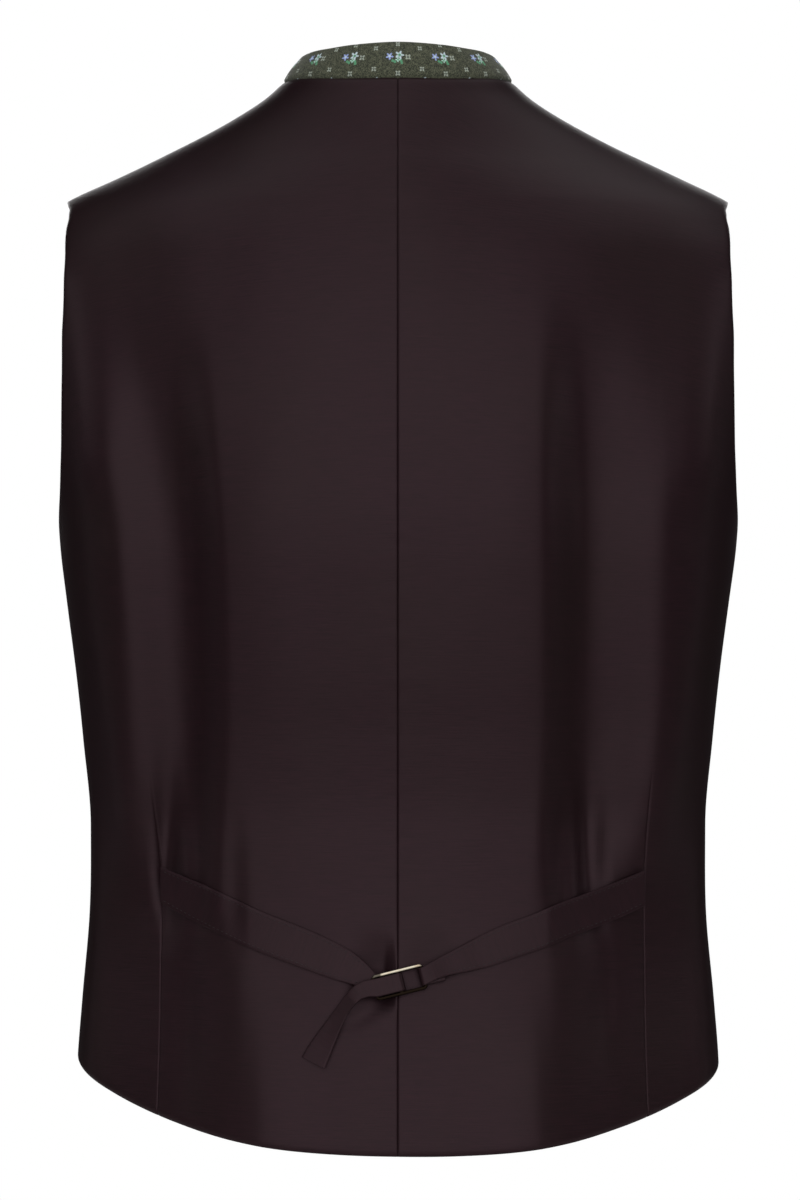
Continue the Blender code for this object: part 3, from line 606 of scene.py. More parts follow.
def gridMesh(name, points, across, lengthwise, flipped=False, tube=False):
    # a grid of quads with its vertices placed and the cloth's own UV map in metres; a tube is closed
    # along its side and at both ends
    rows, columns = points.shape[:2]
    uv = np.stack((across, lengthwise), axis=-1) * mm
    bm = bmesh.new()
    bmesh.ops.create_grid(bm, x_segments=columns - 1, y_segments=rows - 1, size=0.5)
    layer = bm.loops.layers.uv.new("cloth")
    for vertex in bm.verts:
        column = round((vertex.co.x + 0.5) * (columns - 1))
        row = round((vertex.co.y + 0.5) * (rows - 1))
        vertex.index = row * columns + column
    for face in bm.faces:
        for loop in face.loops:
            row, column = divmod(loop.vert.index, columns)
            loop[layer].uv = uv[row, column]
    for vertex in bm.verts:
        row, column = divmod(vertex.index, columns)
        vertex.co = points[row, column] * mm
    if tube:
        bmesh.ops.remove_doubles(bm, verts=bm.verts, dist=weld)
        bmesh.ops.holes_fill(bm, edges=[edge for edge in bm.edges if edge.is_boundary], sides=0)
        bmesh.ops.recalc_face_normals(bm, faces=bm.faces)
    if flipped:
        bmesh.ops.reverse_faces(bm, faces=bm.faces)
    return meshFrom(bm, name, sharpFrom=60 if tube else None)


def thicken(piece, wall, inner=1):
    # the wall grows inwards, with its inner face in the next material
    solid = piece.modifiers.new("wall", "SOLIDIFY")
    solid.thickness = wall * mm
    solid.offset = -1.0
    solid.material_offset = inner


def stitchMesh(name, stitches, long, thick=0.5):
    # one small capsule of thread for each stitch: its place, its direction and the cloth's outward side
    bm = bmesh.new()
    for place, run, out in stitches:
        run = Vector(run).normalized()
        out = Vector(out)
        out = (out - run * out.dot(run)).normalized()
        turn = Matrix((run, out.cross(run), out)).transposed().to_4x4()
        size = Matrix.Diagonal((long * mm / 2, thick * mm / 2, thick * mm / 2.6, 1.0))
        matrix = Matrix.Translation(Vector(place) * mm) @ turn @ size
        bmesh.ops.create_icosphere(bm, subdivisions=1, radius=1.0, matrix=matrix)
    return meshFrom(bm, name)


# the cloth of backs and fronts
cloth = {
    "waves": (      # depth, run across, down and start of one wave, and run and start of its swelling
        (0.30, 19.0, 160.0, 0.7, 85.0, 1.1),
        (0.22, 11.5, -120.0, 2.0, 61.0, 0.3),
        (0.12, 7.3, 47.0, 0.0, 33.0, 2.2),
    ),
    "waveFade": 60.0,       # they grow over this depth below the neck seam
    "pucker": 0.10,
    "puckerReach": 4.0,
    "sideSeam": 0.6,        # how far the edges turn in
    "hemEdge": 1.2,
    "neckSeam": 0.9,
}


def softWaves(x, z):
    # the slow unevenness of hanging cloth
    return sum(depth * np.sin(x / across + z / down + start) * np.sin(z / swell + first)
               for depth, across, down, start, swell, first in cloth["waves"])


def puckers(path, distance):
    # stitching draws the cloth in unevenly just beside a seam, in waves of about 12 and 21 mm
    wave = np.sin(path / 1.9 + 0.8 * np.sin(path / 23.0)) + 0.7 * np.sin(path / 3.3 + 1.0)
    return cloth["pucker"] * wave * np.exp(-distance / cloth["puckerReach"])


def turnedEdges(freeEdge, z, fromEdge, overHem, underNeck):
    # how far a panel's side, hem and neck edges turn in, with its side edge free along the armhole
    free = (z > cut["underarm"]) & (z < cut["shoulderTip"])
    relief = rolled(fromEdge, np.where(free, freeEdge, cloth["sideSeam"]))
    return relief + rolled(overHem, cloth["hemEdge"]) + rolled(underNeck, cloth["neckSeam"])


def hemLine(lengthOf, side, facing):
    # the hem's height at each column, lowest in the middle of the back (facing 1) or the front (-1)
    level = cut["hemLevel"]
    place = onBody(level, lengthOf(level))
    deepest = along(body["sections"], 2 if facing > 0 else 4, level)
    depth = np.maximum(facing * place[:, 1] / deepest, 0.0)
    drop = cut["backDrop"] if facing > 0 else cut["frontDrop"]
    return cut["hemAtSide"] - drop * depth**2 + cut["hemTilt"] * side * place[:, 0]


def panelPoints(lengthOf, hems, reliefOf, side):
    # rows by columns of points, their length round the body and their length up from the underarm
    lower, edgeRows = rowPlaces()
    tops = neckHeight(lengthOf)
    edgeTop = neckHeight(lambda z: edgeAt(1, z))
    inset = cut["rolls"][-1]
    tip = cut["shoulderTip"]
    count = round((edgeTop - inset - tip) / cut["mesh"])
    shoulderRows = tip + (edgeTop - inset - tip) * np.arange(1, count + 1) / count
    edgeRows = np.concatenate((edgeRows, shoulderRows, edgeTop - np.array(cut["rolls"][-2::-1])))
    rise = (tops - cut["underarm"]) / (edgeTop - cut["underarm"])
    below = hems[None, :] + (cut["underarm"] - hems[None, :]) * lower[:, None]
    above = cut["underarm"] + rise[None, :] * (edgeRows[:, None] - cut["underarm"])
    z = np.vstack((below, above))
    length = lengthOf(z)
    points = onBody(z, length)
    normals = outward(z, length)
    path = lengthsAlong(points)
    path = path - path[len(lower) - 1]
    relief, folded = reliefOf(points, z, length, path, z - hems[None, :], tops[None, :] - z)
    points = points - normals * relief[..., None]
    points[..., 1] -= folded
    points[..., 0] *= side
    return points, length, path


# back halves
back = {
    "wall": 1.6,
    "toDart": 132.0 / cut["mesh"],
    "pastDart": 70.0 / cut["mesh"],
    "centreDip": 0.5,       # the seams' grooves
    "dartDip": 0.6,
    "dartFade": 30.0,       # the dart's groove and puckers end over this length at its top
    "dartShift": 40.0,      # its puckers differ from the centre seam's
    "freeEdge": 1.1,
    "folds": (          # x, z at the top, the middle and the foot, half width in and out, and depth
        (130.0, -125.0, 118.0, -350.0, 127.0, -500.0, 25.0, 42.0, 12.5),     # long valleys to the belt
        (-104.0, -100.0, -107.0, -350.0, -101.0, -500.0, 28.0, 46.0, 12.5),
        (178.0, -100.0, 169.0, -310.0, 140.0, -480.0, 42.0, 22.0, -6.5),    # fuller cloth outside them
        (-176.0, -100.0, -167.0, -310.0, -142.0, -480.0, 42.0, 22.0, -6.0),
        (124.0, -400.0, 127.0, -545.0, 129.0, -740.0, 42.0, 70.0, 8.5),     # falling away below the belt
        (160.0, -350.0, 160.0, -545.0, 158.0, -740.0, 50.0, 24.0, 6.0),
        (-120.0, -400.0, -124.0, -545.0, -132.0, -740.0, 40.0, 70.0, 9.0),
        (-160.0, -370.0, -160.0, -545.0, -158.0, -740.0, 50.0, 24.0, 6.0),
        (76.0, -490.0, 74.0, -570.0, 72.0, -740.0, 40.0, 20.0, -2.2),
        (-70.0, -490.0, -74.0, -560.0, -78.0, -740.0, 40.0, 18.0, -2.2),
    ),
    "foldFades": (0.38, 0.22),      # shares of a fold's length over which it begins and ends
    "drags": (          # the same for the short creases that the belt draws
        (130.0, -365.0, 130.5, -435.0, 131.0, -514.0, 10.0, 10.0, 4.5),
        (118.5, -390.0, 118.5, -435.0, 119.0, -505.0, 8.0, 8.0, -1.2),
        (112.0, -400.0, 113.0, -435.0, 114.0, -512.0, 9.0, 6.0, 1.6),
        (92.0, -400.0, 91.0, -445.0, 90.0, -512.0, 9.0, 9.0, 1.0),
        (-105.0, -365.0, -106.5, -435.0, -108.0, -514.0, 9.0, 14.0, 5.0),
        (-91.0, -385.0, -91.0, -440.0, -92.0, -512.0, 9.0, 7.0, 1.6),
        (118.0, -450.0, 118.0, -500.0, 119.0, -610.0, 11.0, 13.0, 1.8),
        (-116.0, -450.0, -116.0, -500.0, -115.0, -580.0, 11.0, 10.0, 1.5),
        (8.5, -478.0, 8.5, -496.0, 8.0, -534.0, 8.5, 26.0, 6.0),
        (-22.0, -478.0, -22.0, -490.0, -22.0, -516.0, 22.0, 14.0, 1.8),
        (-4.0, -514.0, 14.0, -527.0, 34.0, -543.0, 14.0, 14.0, 2.2),
    ),
    "dragFades": (0.6, 0.4),
    "foldEase": 45.0,       # folds flatten over this depth before the side seam
    "flatFrom": 142.0,      # beside the armhole the cloth stands flat and off the wearer's side, from
    "flatWidth": 70.0,      # this far out and fully after this width,
    "flatRise": 14.0,       # by this much,
    "flatTop": -70.0,       # between this height and just over the underarm
    "flatLow": cut["underarm"] + 4.0,
    "flatFade": 50.0,
}


def foldDepth(x, z, folds, fades):
    # how far folds push the cloth in, or out where their depth is below zero
    total = np.zeros(np.shape(x))
    for xTop, zTop, xMiddle, zMiddle, xLow, zLow, inside, outside, depth in folds:
        line = ((zTop, xTop), (zMiddle, xMiddle), (zLow, xLow))
        across = (x - along(line, 1, z)) * np.sign(xMiddle)
        across = np.clip(np.abs(across) / np.where(across < 0.0, inside, outside), 0.0, 1.0)
        share = (zTop - z) / (zTop - zLow)
        fade = smoothStep(np.minimum(share / fades[0], (1.0 - share) / fades[1]))
        total += depth * fade * (1.0 + np.cos(math.pi * across)) / 2
    return total


def makeBack(side, word):
    inner = zone(round(back["toDart"]), True, True)
    outer = zone(round(back["pastDart"]), True, True)[1:]
    shares, offsets = np.array(inner + outer).T
    pastDart = np.arange(len(shares)) >= len(inner)
    half = cut["seamGap"] / 2

    def lengthOf(z):
        dart = edgeAt(("dart", side), z)
        low = np.where(pastDart, dart, half)
        high = np.where(pastDart, edgeAt(1, z) - half, dart)
        return low + (high - low) * shares + offsets

    def reliefOf(points, z, length, path, overHem, underNeck):
        x = side * points[..., 0]
        folded = foldDepth(x, z, back["folds"], back["foldFades"])
        folded += foldDepth(x, z, back["drags"], back["dragFades"])
        folded *= smoothStep((points[..., 1] - cut["seamDepth"]) / back["foldEase"])
        beside = smoothStep((np.abs(x) - back["flatFrom"]) / back["flatWidth"])
        within = smoothStep((back["flatTop"] - z) / back["flatFade"])
        within *= smoothStep((z - back["flatLow"]) / back["flatFade"])
        folded -= back["flatRise"] * beside * within
        relief = softWaves(x, z) * smoothStep(underNeck / cloth["waveFade"])
        relief += grooved(length, back["centreDip"]) + puckers(path, length)
        fromDart = np.abs(length - edgeAt(("dart", side), z))
        dart = grooved(fromDart, back["dartDip"]) + puckers(path + back["dartShift"], fromDart)
        relief += dart * smoothStep((cut["dartTop"] - z) / back["dartFade"])
        relief += turnedEdges(back["freeEdge"], z, edgeAt(1, z) - length, overHem, underNeck)
        return relief, folded

    points, length, path = panelPoints(lengthOf, hemLine(lengthOf, side, 1), reliefOf, side)
    mesh = gridMesh("backHalf_" + word, points, -length * side, path, flipped=side > 0)
    piece = addPiece(mesh, (satinCloth, satinCloth), "back_" + word)
    thicken(piece, back["wall"])
    return piece


backLeft = makeBack(1, "left")
backRight = makeBack(-1, "right")
print("back halves made")


# fronts
front = {
    "wall": 2.0,
    "columns": 225.0 / cut["mesh"],
    "lapColumns": 8,
    "waveShift": 300.0,     # its waves differ from the back's and are lower
    "waveShare": 0.8,
    "underlap": 2.5,        # the right front lies this far in, under the left one, and comes out from
    "lapStart": 46.0,       # there between these distances from the centre line
    "lapEnd": 24.0,
    "freeEdge": 1.2,
}


def makeFront(side, word):
    wide = zone(round(front["columns"]), True, False)
    lap = zone(front["lapColumns"], False, True)[1:]
    shares, offsets = np.array(wide + lap).T
    inLap = np.arange(len(shares)) >= len(wide)
    half = cut["seamGap"] / 2

    def lengthOf(z):
        end = halfRound(z) - cut["collarEnd"]
        low = np.where(inLap, end, edgeAt(2, z) + half)
        high = np.where(inLap, end + cut["collarEnd"] + cut["overlap"], end)
        return low + (high - low) * shares + offsets

    def reliefOf(points, z, length, path, overHem, underNeck):
        x = side * points[..., 0]
        fromFree = halfRound(z) + cut["overlap"] - length
        relief = softWaves(x + front["waveShift"], z) * front["waveShare"]
        relief *= smoothStep(underNeck / cloth["waveFade"]) * smoothStep(fromFree / cloth["waveFade"])
        if side < 0:
            within = (front["lapStart"] - points[..., 0]) / (front["lapStart"] - front["lapEnd"])
            relief += front["underlap"] * smoothStep(within)
        relief += rolled(fromFree, front["freeEdge"])
        relief += turnedEdges(front["freeEdge"], z, length - edgeAt(2, z), overHem, underNeck)
        return relief, 0.0

    level = cut["hemLevel"]
    toCorner = np.maximum(cut["corner"] - (halfRound(level) + cut["overlap"] - lengthOf(level)), 0.0)
    rise = cut["corner"] - np.sqrt(np.maximum(cut["corner"] ** 2 - toCorner**2, 0.0))
    points, length, path = panelPoints(lengthOf, hemLine(lengthOf, side, -1) + rise, reliefOf, side)
    fromCentre = (halfRound(points[..., 2]) - length) * side
    mesh = gridMesh("front_" + word + "_cloth", points, fromCentre, path, flipped=side > 0)
    piece = addPiece(mesh, (jacquardCloth, satinCloth), "front_" + word)
    thicken(piece, front["wall"])


makeFront(1, "left")
makeFront(-1, "right")
print("fronts made")


# stand collar
collar = {
    "topShares": (56.5 / 66.0, 51.0 / 58.0, 65.0 / 72.0),     # of the neck's half width and depths
    "sideBlend": 24.0,      # the two depths' shares pass into each other over this depth
    "heights": (            # depth of the neck seam, and the collar's rise there
        (-72.0, 17.0),
        (-50.0, 16.0),
        (-20.0, 13.3),
        (8.0, 12.9),
        (20.0, 13.8),
        (31.5, 15.1),
        (43.0, 16.7),
        (51.6, 18.7),
        (58.0, 20.0),
    ),
    "endRound": 13.0,       # its ends are rounded over this length
    "endDrop": 0.55,
    "bulge": 0.8,
    "wall": 2.4,
    "endWall": 0.35,        # share of the wall that is left at its ends
    "pinch": 3.0,
    "seam": 0.2,            # the collar stands this far over the panels' edge
    "seamDip": 0.7,         # and dips in just over its seam
    "seamShare": 0.09,
    "edgeShare": 0.93,      # the top edge folds over from this share of its height
    "ply": 0.5,
    "turning": ((1.3, 3.0), (1.2, 1.2), (0.9, 0.2)),    # its seam allowance: inwards and down from the seam
    "seamPoints": 120,
    "step": 1.8,
    "faceRows": 13,
    "edgeRows": 7,
}


def neckLine():
    # even points along the neck seam from the left end of the collar round the back to the right one
    shares = np.linspace(1.0, 0.0, collar["seamPoints"])

    def frontLength(z):
        start = edgeAt(2, z)
        return start + (halfRound(z) - cut["collarEnd"] - start) * shares

    def backLength(z):
        return edgeAt(1, z) * shares[1:]

    parts = []
    for lengthOf in (frontLength, backLength):
        height = neckHeight(lengthOf)
        parts.append(onBody(height, lengthOf(height)))
    half = np.vstack(parts)
    line = np.vstack((half, (half * (-1.0, 1.0, 1.0))[-2::-1]))
    run = lengthsAlong(line)
    count = 2 * round(run[-1] / collar["step"] / 2)
    even = np.linspace(0.0, run[-1], count + 1)
    return spotsOn(line, run, even), even


def makeCollar():
    # one ply, from its seam allowance up the outer face, over the top edge and down the inner face
    line, run = neckLine()
    toEnd = np.minimum(run, run[-1] - run)
    drop = np.clip(1.0 - toEnd / collar["endRound"], 0.0, 1.0) ** 2
    height = along(collar["heights"], 1, line[:, 1]) * (1.0 - collar["endDrop"] * drop)
    foot = line + (0.0, 0.0, collar["seam"])
    shareX, shareBack, shareFront = collar["topShares"]
    shareY = shareFront + (shareBack - shareFront) * smoothStep(foot[:, 1] / collar["sideBlend"] + 0.5)
    head = np.stack((foot[:, 0] * shareX, foot[:, 1] * shareY, foot[:, 2] + height), axis=1)
    wide, _, deep = cut["neck"]
    inward = np.stack((-foot[:, 0] / wide**2, -foot[:, 1] / deep**2, np.zeros(len(foot))), axis=1)
    inward /= np.linalg.norm(inward, axis=1, keepdims=True)
    full = smoothStep(toEnd / collar["pinch"])[:, None]
    wall = collar["wall"] * (collar["endWall"] + (1.0 - collar["endWall"]) * full)
    nearTop = foot + (head - foot) * collar["edgeShare"]
    rows = [foot + inward * inwards - (0.0, 0.0, down) for inwards, down in collar["turning"]]
    for s in np.linspace(0.0, collar["edgeShare"], collar["faceRows"]):
        dip = collar["seamDip"] * (1.0 - min(s / collar["seamShare"], 1.0)) ** 2
        rows.append(foot + (head - foot) * s - inward * (collar["bulge"] * math.sin(math.pi * s) - dip))
    for angle in np.linspace(0.0, math.pi, collar["edgeRows"] + 2)[1:-1]:
        rows.append(nearTop + inward * wall * (1 - math.cos(angle)) / 2
                    + (0.0, 0.0, 1.0) * (head - nearTop)[:, 2:] * math.sin(angle))
    for s in np.linspace(collar["edgeShare"], 0.0, collar["faceRows"]):
        bulge = collar["bulge"] * math.sin(math.pi * s)
        rows.append(foot + (head - foot) * s - inward * bulge + inward * wall)
    points = np.array(rows)
    up = lengthsAlong(points)
    up = up - up[len(collar["turning"])]
    around = np.broadcast_to(run - run[-1] / 2, up.shape)
    mesh = gridMesh("standCollar", points, around, up, flipped=True)
    piece = addPiece(mesh, (jacquardCloth, jacquardCloth), "collar")
    thicken(piece, collar["ply"], 0)


makeCollar()
print("collar made")


# cinch belt
belt = {
    "wall": 1.2,
    "lift": 1.1,            # a strap's middle over the cloth
    "turn": 2.0,            # radius of its turn round a bar
    "left": (               # x, z, width and lift along the middle of the strap
        (133.2, -460.6, 18.5, 1.1),
        (121.0, -466.0, 20.0, 1.1),
        (108.0, -471.6, 21.5, 1.1),
        (77.0, -485.2, 21.5, 1.1),
        (54.5, -493.6, 21.0, 1.1),
        (40.0, -499.4, 20.0, 1.1),
        (28.0, -504.6, 17.4, 1.1),
        (20.5, -508.8, 13.6, 1.1),
        (16.6, -511.6, 11.4, 1.1),
        (14.2, -513.4, 10.2, 1.1),
    ),
    "tail": (               # the free end, from the buckle's bar down
        (17.4, -516.5, 9.4, 5.1),
        (21.5, -518.2, 8.6, 4.6),
        (26.0, -522.4, 7.4, 3.8),
        (30.6, -528.4, 7.6, 2.8),
        (35.0, -535.4, 9.2, 2.0),
        (39.4, -543.0, 11.4, 1.4),
        (43.4, -550.2, 13.4, 1.1),
        (46.8, -557.0, 14.4, 1.1),
    ),
    "tailTwist": 2.2,       # its edge nearer the buckle stands this much further out
    "right": (
        (-138.4, -462.6, 18.5, 1.1),
        (-125.0, -468.0, 19.5, 1.1),
        (-108.5, -474.0, 20.0, 1.1),
        (-92.5, -479.4, 20.0, 1.1),
        (-77.5, -485.4, 20.0, 1.1),
        (-62.5, -490.4, 19.5, 1.1),
        (-47.0, -496.4, 17.5, 1.1),
        (-36.0, -500.4, 14.5, 1.9),
        (-27.0, -503.6, 11.6, 2.8),
        (-20.0, -506.6, 10.0, 4.1),
    ),
    "step": 1.5,
    "turnSteps": 14,
    "leftBehind": (8.0, 5.5, 3.0),      # its straight runs behind and before the bar, from the bar
    "leftBefore": (4.0, 8.0, 13.6),
    "rightBehind": (4.0, 7.5, 11.0),
    "stitchInset": 1.9,
    "stitchLength": 2.0,
    "stitchPitch": 2.9,
    "stitchReach": 0.6,     # a stitch's direction is read this far before and after it
    "stitchSunk": 0.05,
    "unsewn": 4,            # sections without stitches beside the buckle
    "taut": 84.0,           # beyond this a strap is stretched over the valley, down to the dart
    "sewnLeft": (133.2, -460.6),
    "sewnRight": (-138.4, -462.6),
    "sunkShare": 0.4,       # its sewn end follows the valley this far down
    "squareOff": 14.0,      # over this length its section turns square to its run
    "twistSteps": 8,
    "outline": (-0.995, -0.94, -0.80, -0.6, -0.3, 0.0, 0.3, 0.6, 0.80, 0.94, 0.995),
    "rounded": 0.55,        # height of its outermost points, as a share of half its wall
}
buckle = {
    "x": -0.9,
    "z": -512.9,
    "tilt": math.radians(14.0),
    "length": 30.0,
    "height": 14.6,
    "bar": 2.0,
    "thick": 2.2,
    "edge": 0.7,            # radius of its round edges
    "corner": 2.2,
    "slotCorner": 1.4,
    "cornerSteps": 8,
}


def clothTree(pieces):
    # the laid cloth's faces in millimetres, to rest things on
    verts, faces = [], []
    for piece in pieces:
        shift = len(verts)
        verts += [vertex.co / mm for vertex in piece.data.vertices]
        faces += [tuple(shift + i for i in polygon.vertices) for polygon in piece.data.polygons]
    return BVHTree.FromPolygons(verts, faces)


backTree = clothTree((backLeft, backRight))


def plainBack(x, z):
    # the back's surface without its folds
    level = np.clip((z - sections["heights"][0]) / body["sectionStep"], 0, len(sections["heights"]) - 2)
    row = sections["x"][int(round(level))]
    widest = int(np.argmax(row)) + 1
    length = float(np.interp(abs(x), row[:widest], sections["shares"][:widest]) * halfRound(z))
    point, normal = onBody(z, length), outward(z, length)
    out = Vector(normal)
    out.x *= 1.0 if x >= 0 else -1.0
    return Vector((x, point[1], z)), out


def clothAt(x, z):
    return backTree.ray_cast(Vector((x, 300.0, z)), Vector((0, -1, 0)))[0]


def restOnBack(x, z, lift):
    place, normal = plainBack(x, z)
    sewn = belt["sewnLeft"] if x > 0 else belt["sewnRight"]
    share = (abs(x) - belt["taut"]) / (abs(sewn[0]) - belt["taut"])
    if share > 0.0:
        start = plainBack(math.copysign(belt["taut"], x), z)[0].y
        sunk = (plainBack(*sewn)[0].y - clothAt(*sewn).y) * belt["sunkShare"]
        place.y = start + (plainBack(sewn[0], z)[0].y - sunk - start) * share
    place.y = max(place.y, clothAt(x, z).y)
    return place + normal * lift, normal


def evenSpots(rows):
    # spots at even steps on a smooth curve through rows of x, z, width and lift
    rows = np.array(rows)
    run = lengthsAlong(rows[:, :2])
    table = [(length, *row) for length, row in zip(run, rows)]
    places = np.linspace(0.0, run[-1], max(round(run[-1] / belt["step"]), 2) + 1)
    return np.stack([along(table, c, places) for c in range(1, 5)], axis=1)


def ribbonOutline():
    # points round a strap's section, as shares of its half width and half wall
    last = belt["outline"][-1]
    upper = [(a, belt["rounded"] if abs(a) == last else 1.0) for a in belt["outline"]]
    return upper + [(a, -b) for a, b in reversed(upper)]


outline = ribbonOutline()


def laidSections(rows, turned=False):
    # sections of a strap on the back, each point across resting by itself
    spots = evenSpots(rows)
    face = -1.0 if turned else 1.0
    found = []
    for i, (x, z, width, lift) in enumerate(spots):
        before, after = spots[max(i - 1, 0)], spots[min(i + 1, len(spots) - 1)]
        run = Vector((after[0] - before[0], 0.0, after[1] - before[1])).normalized()
        across = Vector((run.z, 0.0, -run.x)) * face
        if not turned:
            squared = float(smoothStep(i * belt["step"] / belt["squareOff"]))
            upright = Vector((0.0, 0.0, across.z / abs(across.z)))
            across = upright * ((1.0 - squared) / abs(across.z)) + across * squared
        twist = belt["tailTwist"] * float(smoothStep(i / belt["twistSteps"])) if turned else 0.0
        section = []
        rested = {}
        for share, rise in outline:
            if share not in rested:
                spot = across * (width * share / 2)
                rested[share] = restOnBack(x + spot.x, z + spot.z, lift + twist * (1.0 - share) / 2)
            place, normal = rested[share]
            section.append(place + normal * (face * rise * belt["wall"] / 2))
        found.append(section)
    return found


def straightSection(middle, across, normal, width):
    return [middle + across * (width * share / 2) + normal * (rise * belt["wall"] / 2)
            for share, rise in outline]


def turnSections(centre, toward, across, normal, width, face):
    # half a turn round a bar
    found = []
    for i in range(belt["turnSteps"] + 1):
        angle = math.pi * i / belt["turnSteps"]
        out = normal * (face * math.cos(angle)) + toward * math.sin(angle)
        found.append(straightSection(centre + out * belt["turn"], across, out * face, width))
    return found


def buckleAxes():
    # the middle of the buckle, and its directions to the wearer's left, up and out
    plain, normal = plainBack(buckle["x"], buckle["z"])
    toLeft = Vector((math.cos(buckle["tilt"]), 0.0, -math.sin(buckle["tilt"])))
    toLeft = (toLeft - normal * toLeft.dot(normal)).normalized()
    middle = plain + normal * (belt["lift"] + belt["turn"])
    return middle, toLeft, toLeft.cross(normal), normal


def strapMesh(name, found):
    # a closed strap through its sections, with its length and width as the cloth's UV
    points = np.array([[tuple(p) for p in section] + [tuple(section[0])] for section in found])
    top = points[:, :len(outline) // 2].mean(axis=1)
    run = lengthsAlong(top)
    around = lengthsAlong(points, axis=1)
    return gridMesh(name, points, around, np.broadcast_to(run[:, None], around.shape), tube=True), run[-1]


def edgeStitches(laid):
    # a row of stitches beside each long edge of a strap, except at its sewn end and beside the buckle
    chosen = laid[1:-belt["unsewn"]]
    count = len(outline) // 2
    middle = count // 2
    stitches = []
    for edge, inner in ((0, 2), (count - 1, count - 3)):
        line = []
        for section in chosen:
            rim, far = section[edge], section[count - 1 - edge]
            inwards = (far - rim).normalized()
            rise = section[inner] - rim
            line.append(tuple(rim + inwards * belt["stitchInset"] + rise - inwards * rise.dot(inwards)))
        line = np.array(line)
        run = lengthsAlong(line)
        for place in np.arange(belt["stitchPitch"] / 2, run[-1], belt["stitchPitch"]):
            reach = belt["stitchReach"]
            here, ahead, behind = map(Vector, spotsOn(line, run, place + np.array((0.0, reach, -reach))))
            section = chosen[min(int(np.searchsorted(run, place)), len(chosen) - 1)]
            out = (section[middle] - section[-1 - middle]).normalized()
            stitches.append((here - out * belt["stitchSunk"], ahead - behind, out))
    return stitches


def makeBelts():
    # the left strap runs behind the middle bar, round it and back over itself to its free end
    middle, toLeft, up, normal = buckleAxes()
    width = belt["left"][-1][2]
    behind = middle - normal * belt["turn"]
    before = middle + normal * belt["turn"]
    laid = laidSections(belt["left"])
    found = laid + [straightSection(behind + toLeft * d, up, normal, width) for d in belt["leftBehind"]]
    found += turnSections(middle, -toLeft, up, normal, width, -1.0)
    found += [straightSection(before + toLeft * d, up, -normal, width) for d in belt["leftBefore"]]
    found += laidSections(belt["tail"], turned=True)
    mesh, length = strapMesh("leftStrap", found)
    left = addPiece(mesh, (satinCloth,), "belt_left")
    stitches = edgeStitches(laid)

    # the right strap runs over the end bar, round it and back under itself
    width = belt["right"][-1][2]
    bar = middle - toLeft * (buckle["length"] / 2 - buckle["bar"] / 2)
    behind = bar - normal * belt["turn"]
    laid = laidSections(belt["right"])
    found = laid + turnSections(bar, toLeft, -up, normal, width, 1.0)
    found += [straightSection(behind - toLeft * d, -up, -normal, width) for d in belt["rightBehind"]]
    mesh, length = strapMesh("rightStrap", found)
    right = addPiece(mesh, (satinCloth,), "belt_right")
    stitches += edgeStitches(laid)
    mesh = stitchMesh("beltStitches", stitches, belt["stitchLength"])
    addPiece(mesh, (brownThread,), None)


makeBelts()
print("belts made")


# buckle
def addLoop(curve, halfLength, halfHeight, centre, corner):
    # a closed rectangle with round corners
    points = []
    for quarter in range(4):
        x = (halfLength - corner) * (1 if quarter in (0, 3) else -1)
        y = (halfHeight - corner) * (1 if quarter in (0, 1) else -1)
        for i in range(buckle["cornerSteps"] + 1):
            angle = math.pi / 2 * (quarter + i / buckle["cornerSteps"])
            points.append((centre + x + corner * math.cos(angle), y + corner * math.sin(angle)))
    spline = curve.splines.new("POLY")
    spline.points.add(len(points) - 1)
    for point, (x, y) in zip(spline.points, points):
        point.co = (x * mm, y * mm, 0.0, 1.0)
    spline.use_cyclic_u = True


def makeBuckle():
    # an outline with two slots, given its thickness and round edges by a flat curve
    curve = bpy.data.curves.new("slideBuckle", "CURVE")
    curve.dimensions = "2D"
    curve.fill_mode = "BOTH"
    curve.extrude = (buckle["thick"] / 2 - buckle["edge"]) * mm
    curve.bevel_depth = buckle["edge"] * mm
    curve.bevel_resolution = 4
    slot = (buckle["length"] - 3 * buckle["bar"]) / 2
    grow = buckle["edge"]
    addLoop(curve, buckle["length"] / 2 - grow, buckle["height"] / 2 - grow, 0.0, buckle["corner"])
    for side in (1, -1):
        centre = side * (slot + buckle["bar"]) / 2
        halfHeight = buckle["height"] / 2 - buckle["bar"] + grow
        addLoop(curve, slot / 2 + grow, halfHeight, centre, buckle["slotCorner"])
    maker = addObject("buckleMaker", curve)
    bpy.context.view_layer.update()
    mesh = bpy.data.meshes.new_from_object(maker.evaluated_get(bpy.context.evaluated_depsgraph_get()))
    bpy.data.objects.remove(maker)
    middle, toLeft, up, normal = buckleAxes()
    turn = Matrix((-toLeft, up, normal)).transposed().to_4x4()
    mesh.transform(Matrix.Translation(middle * mm) @ turn)
    bm = bmesh.new()
    bm.from_mesh(mesh)
    bpy.data.meshes.remove(mesh)
    bmesh.ops.remove_doubles(bm, verts=bm.verts, dist=weld)
    addPiece(meshFrom(bm, "slideBuckle", sharpFrom=40), (nickel,), "buckle")


makeBuckle()
print("buckle made")


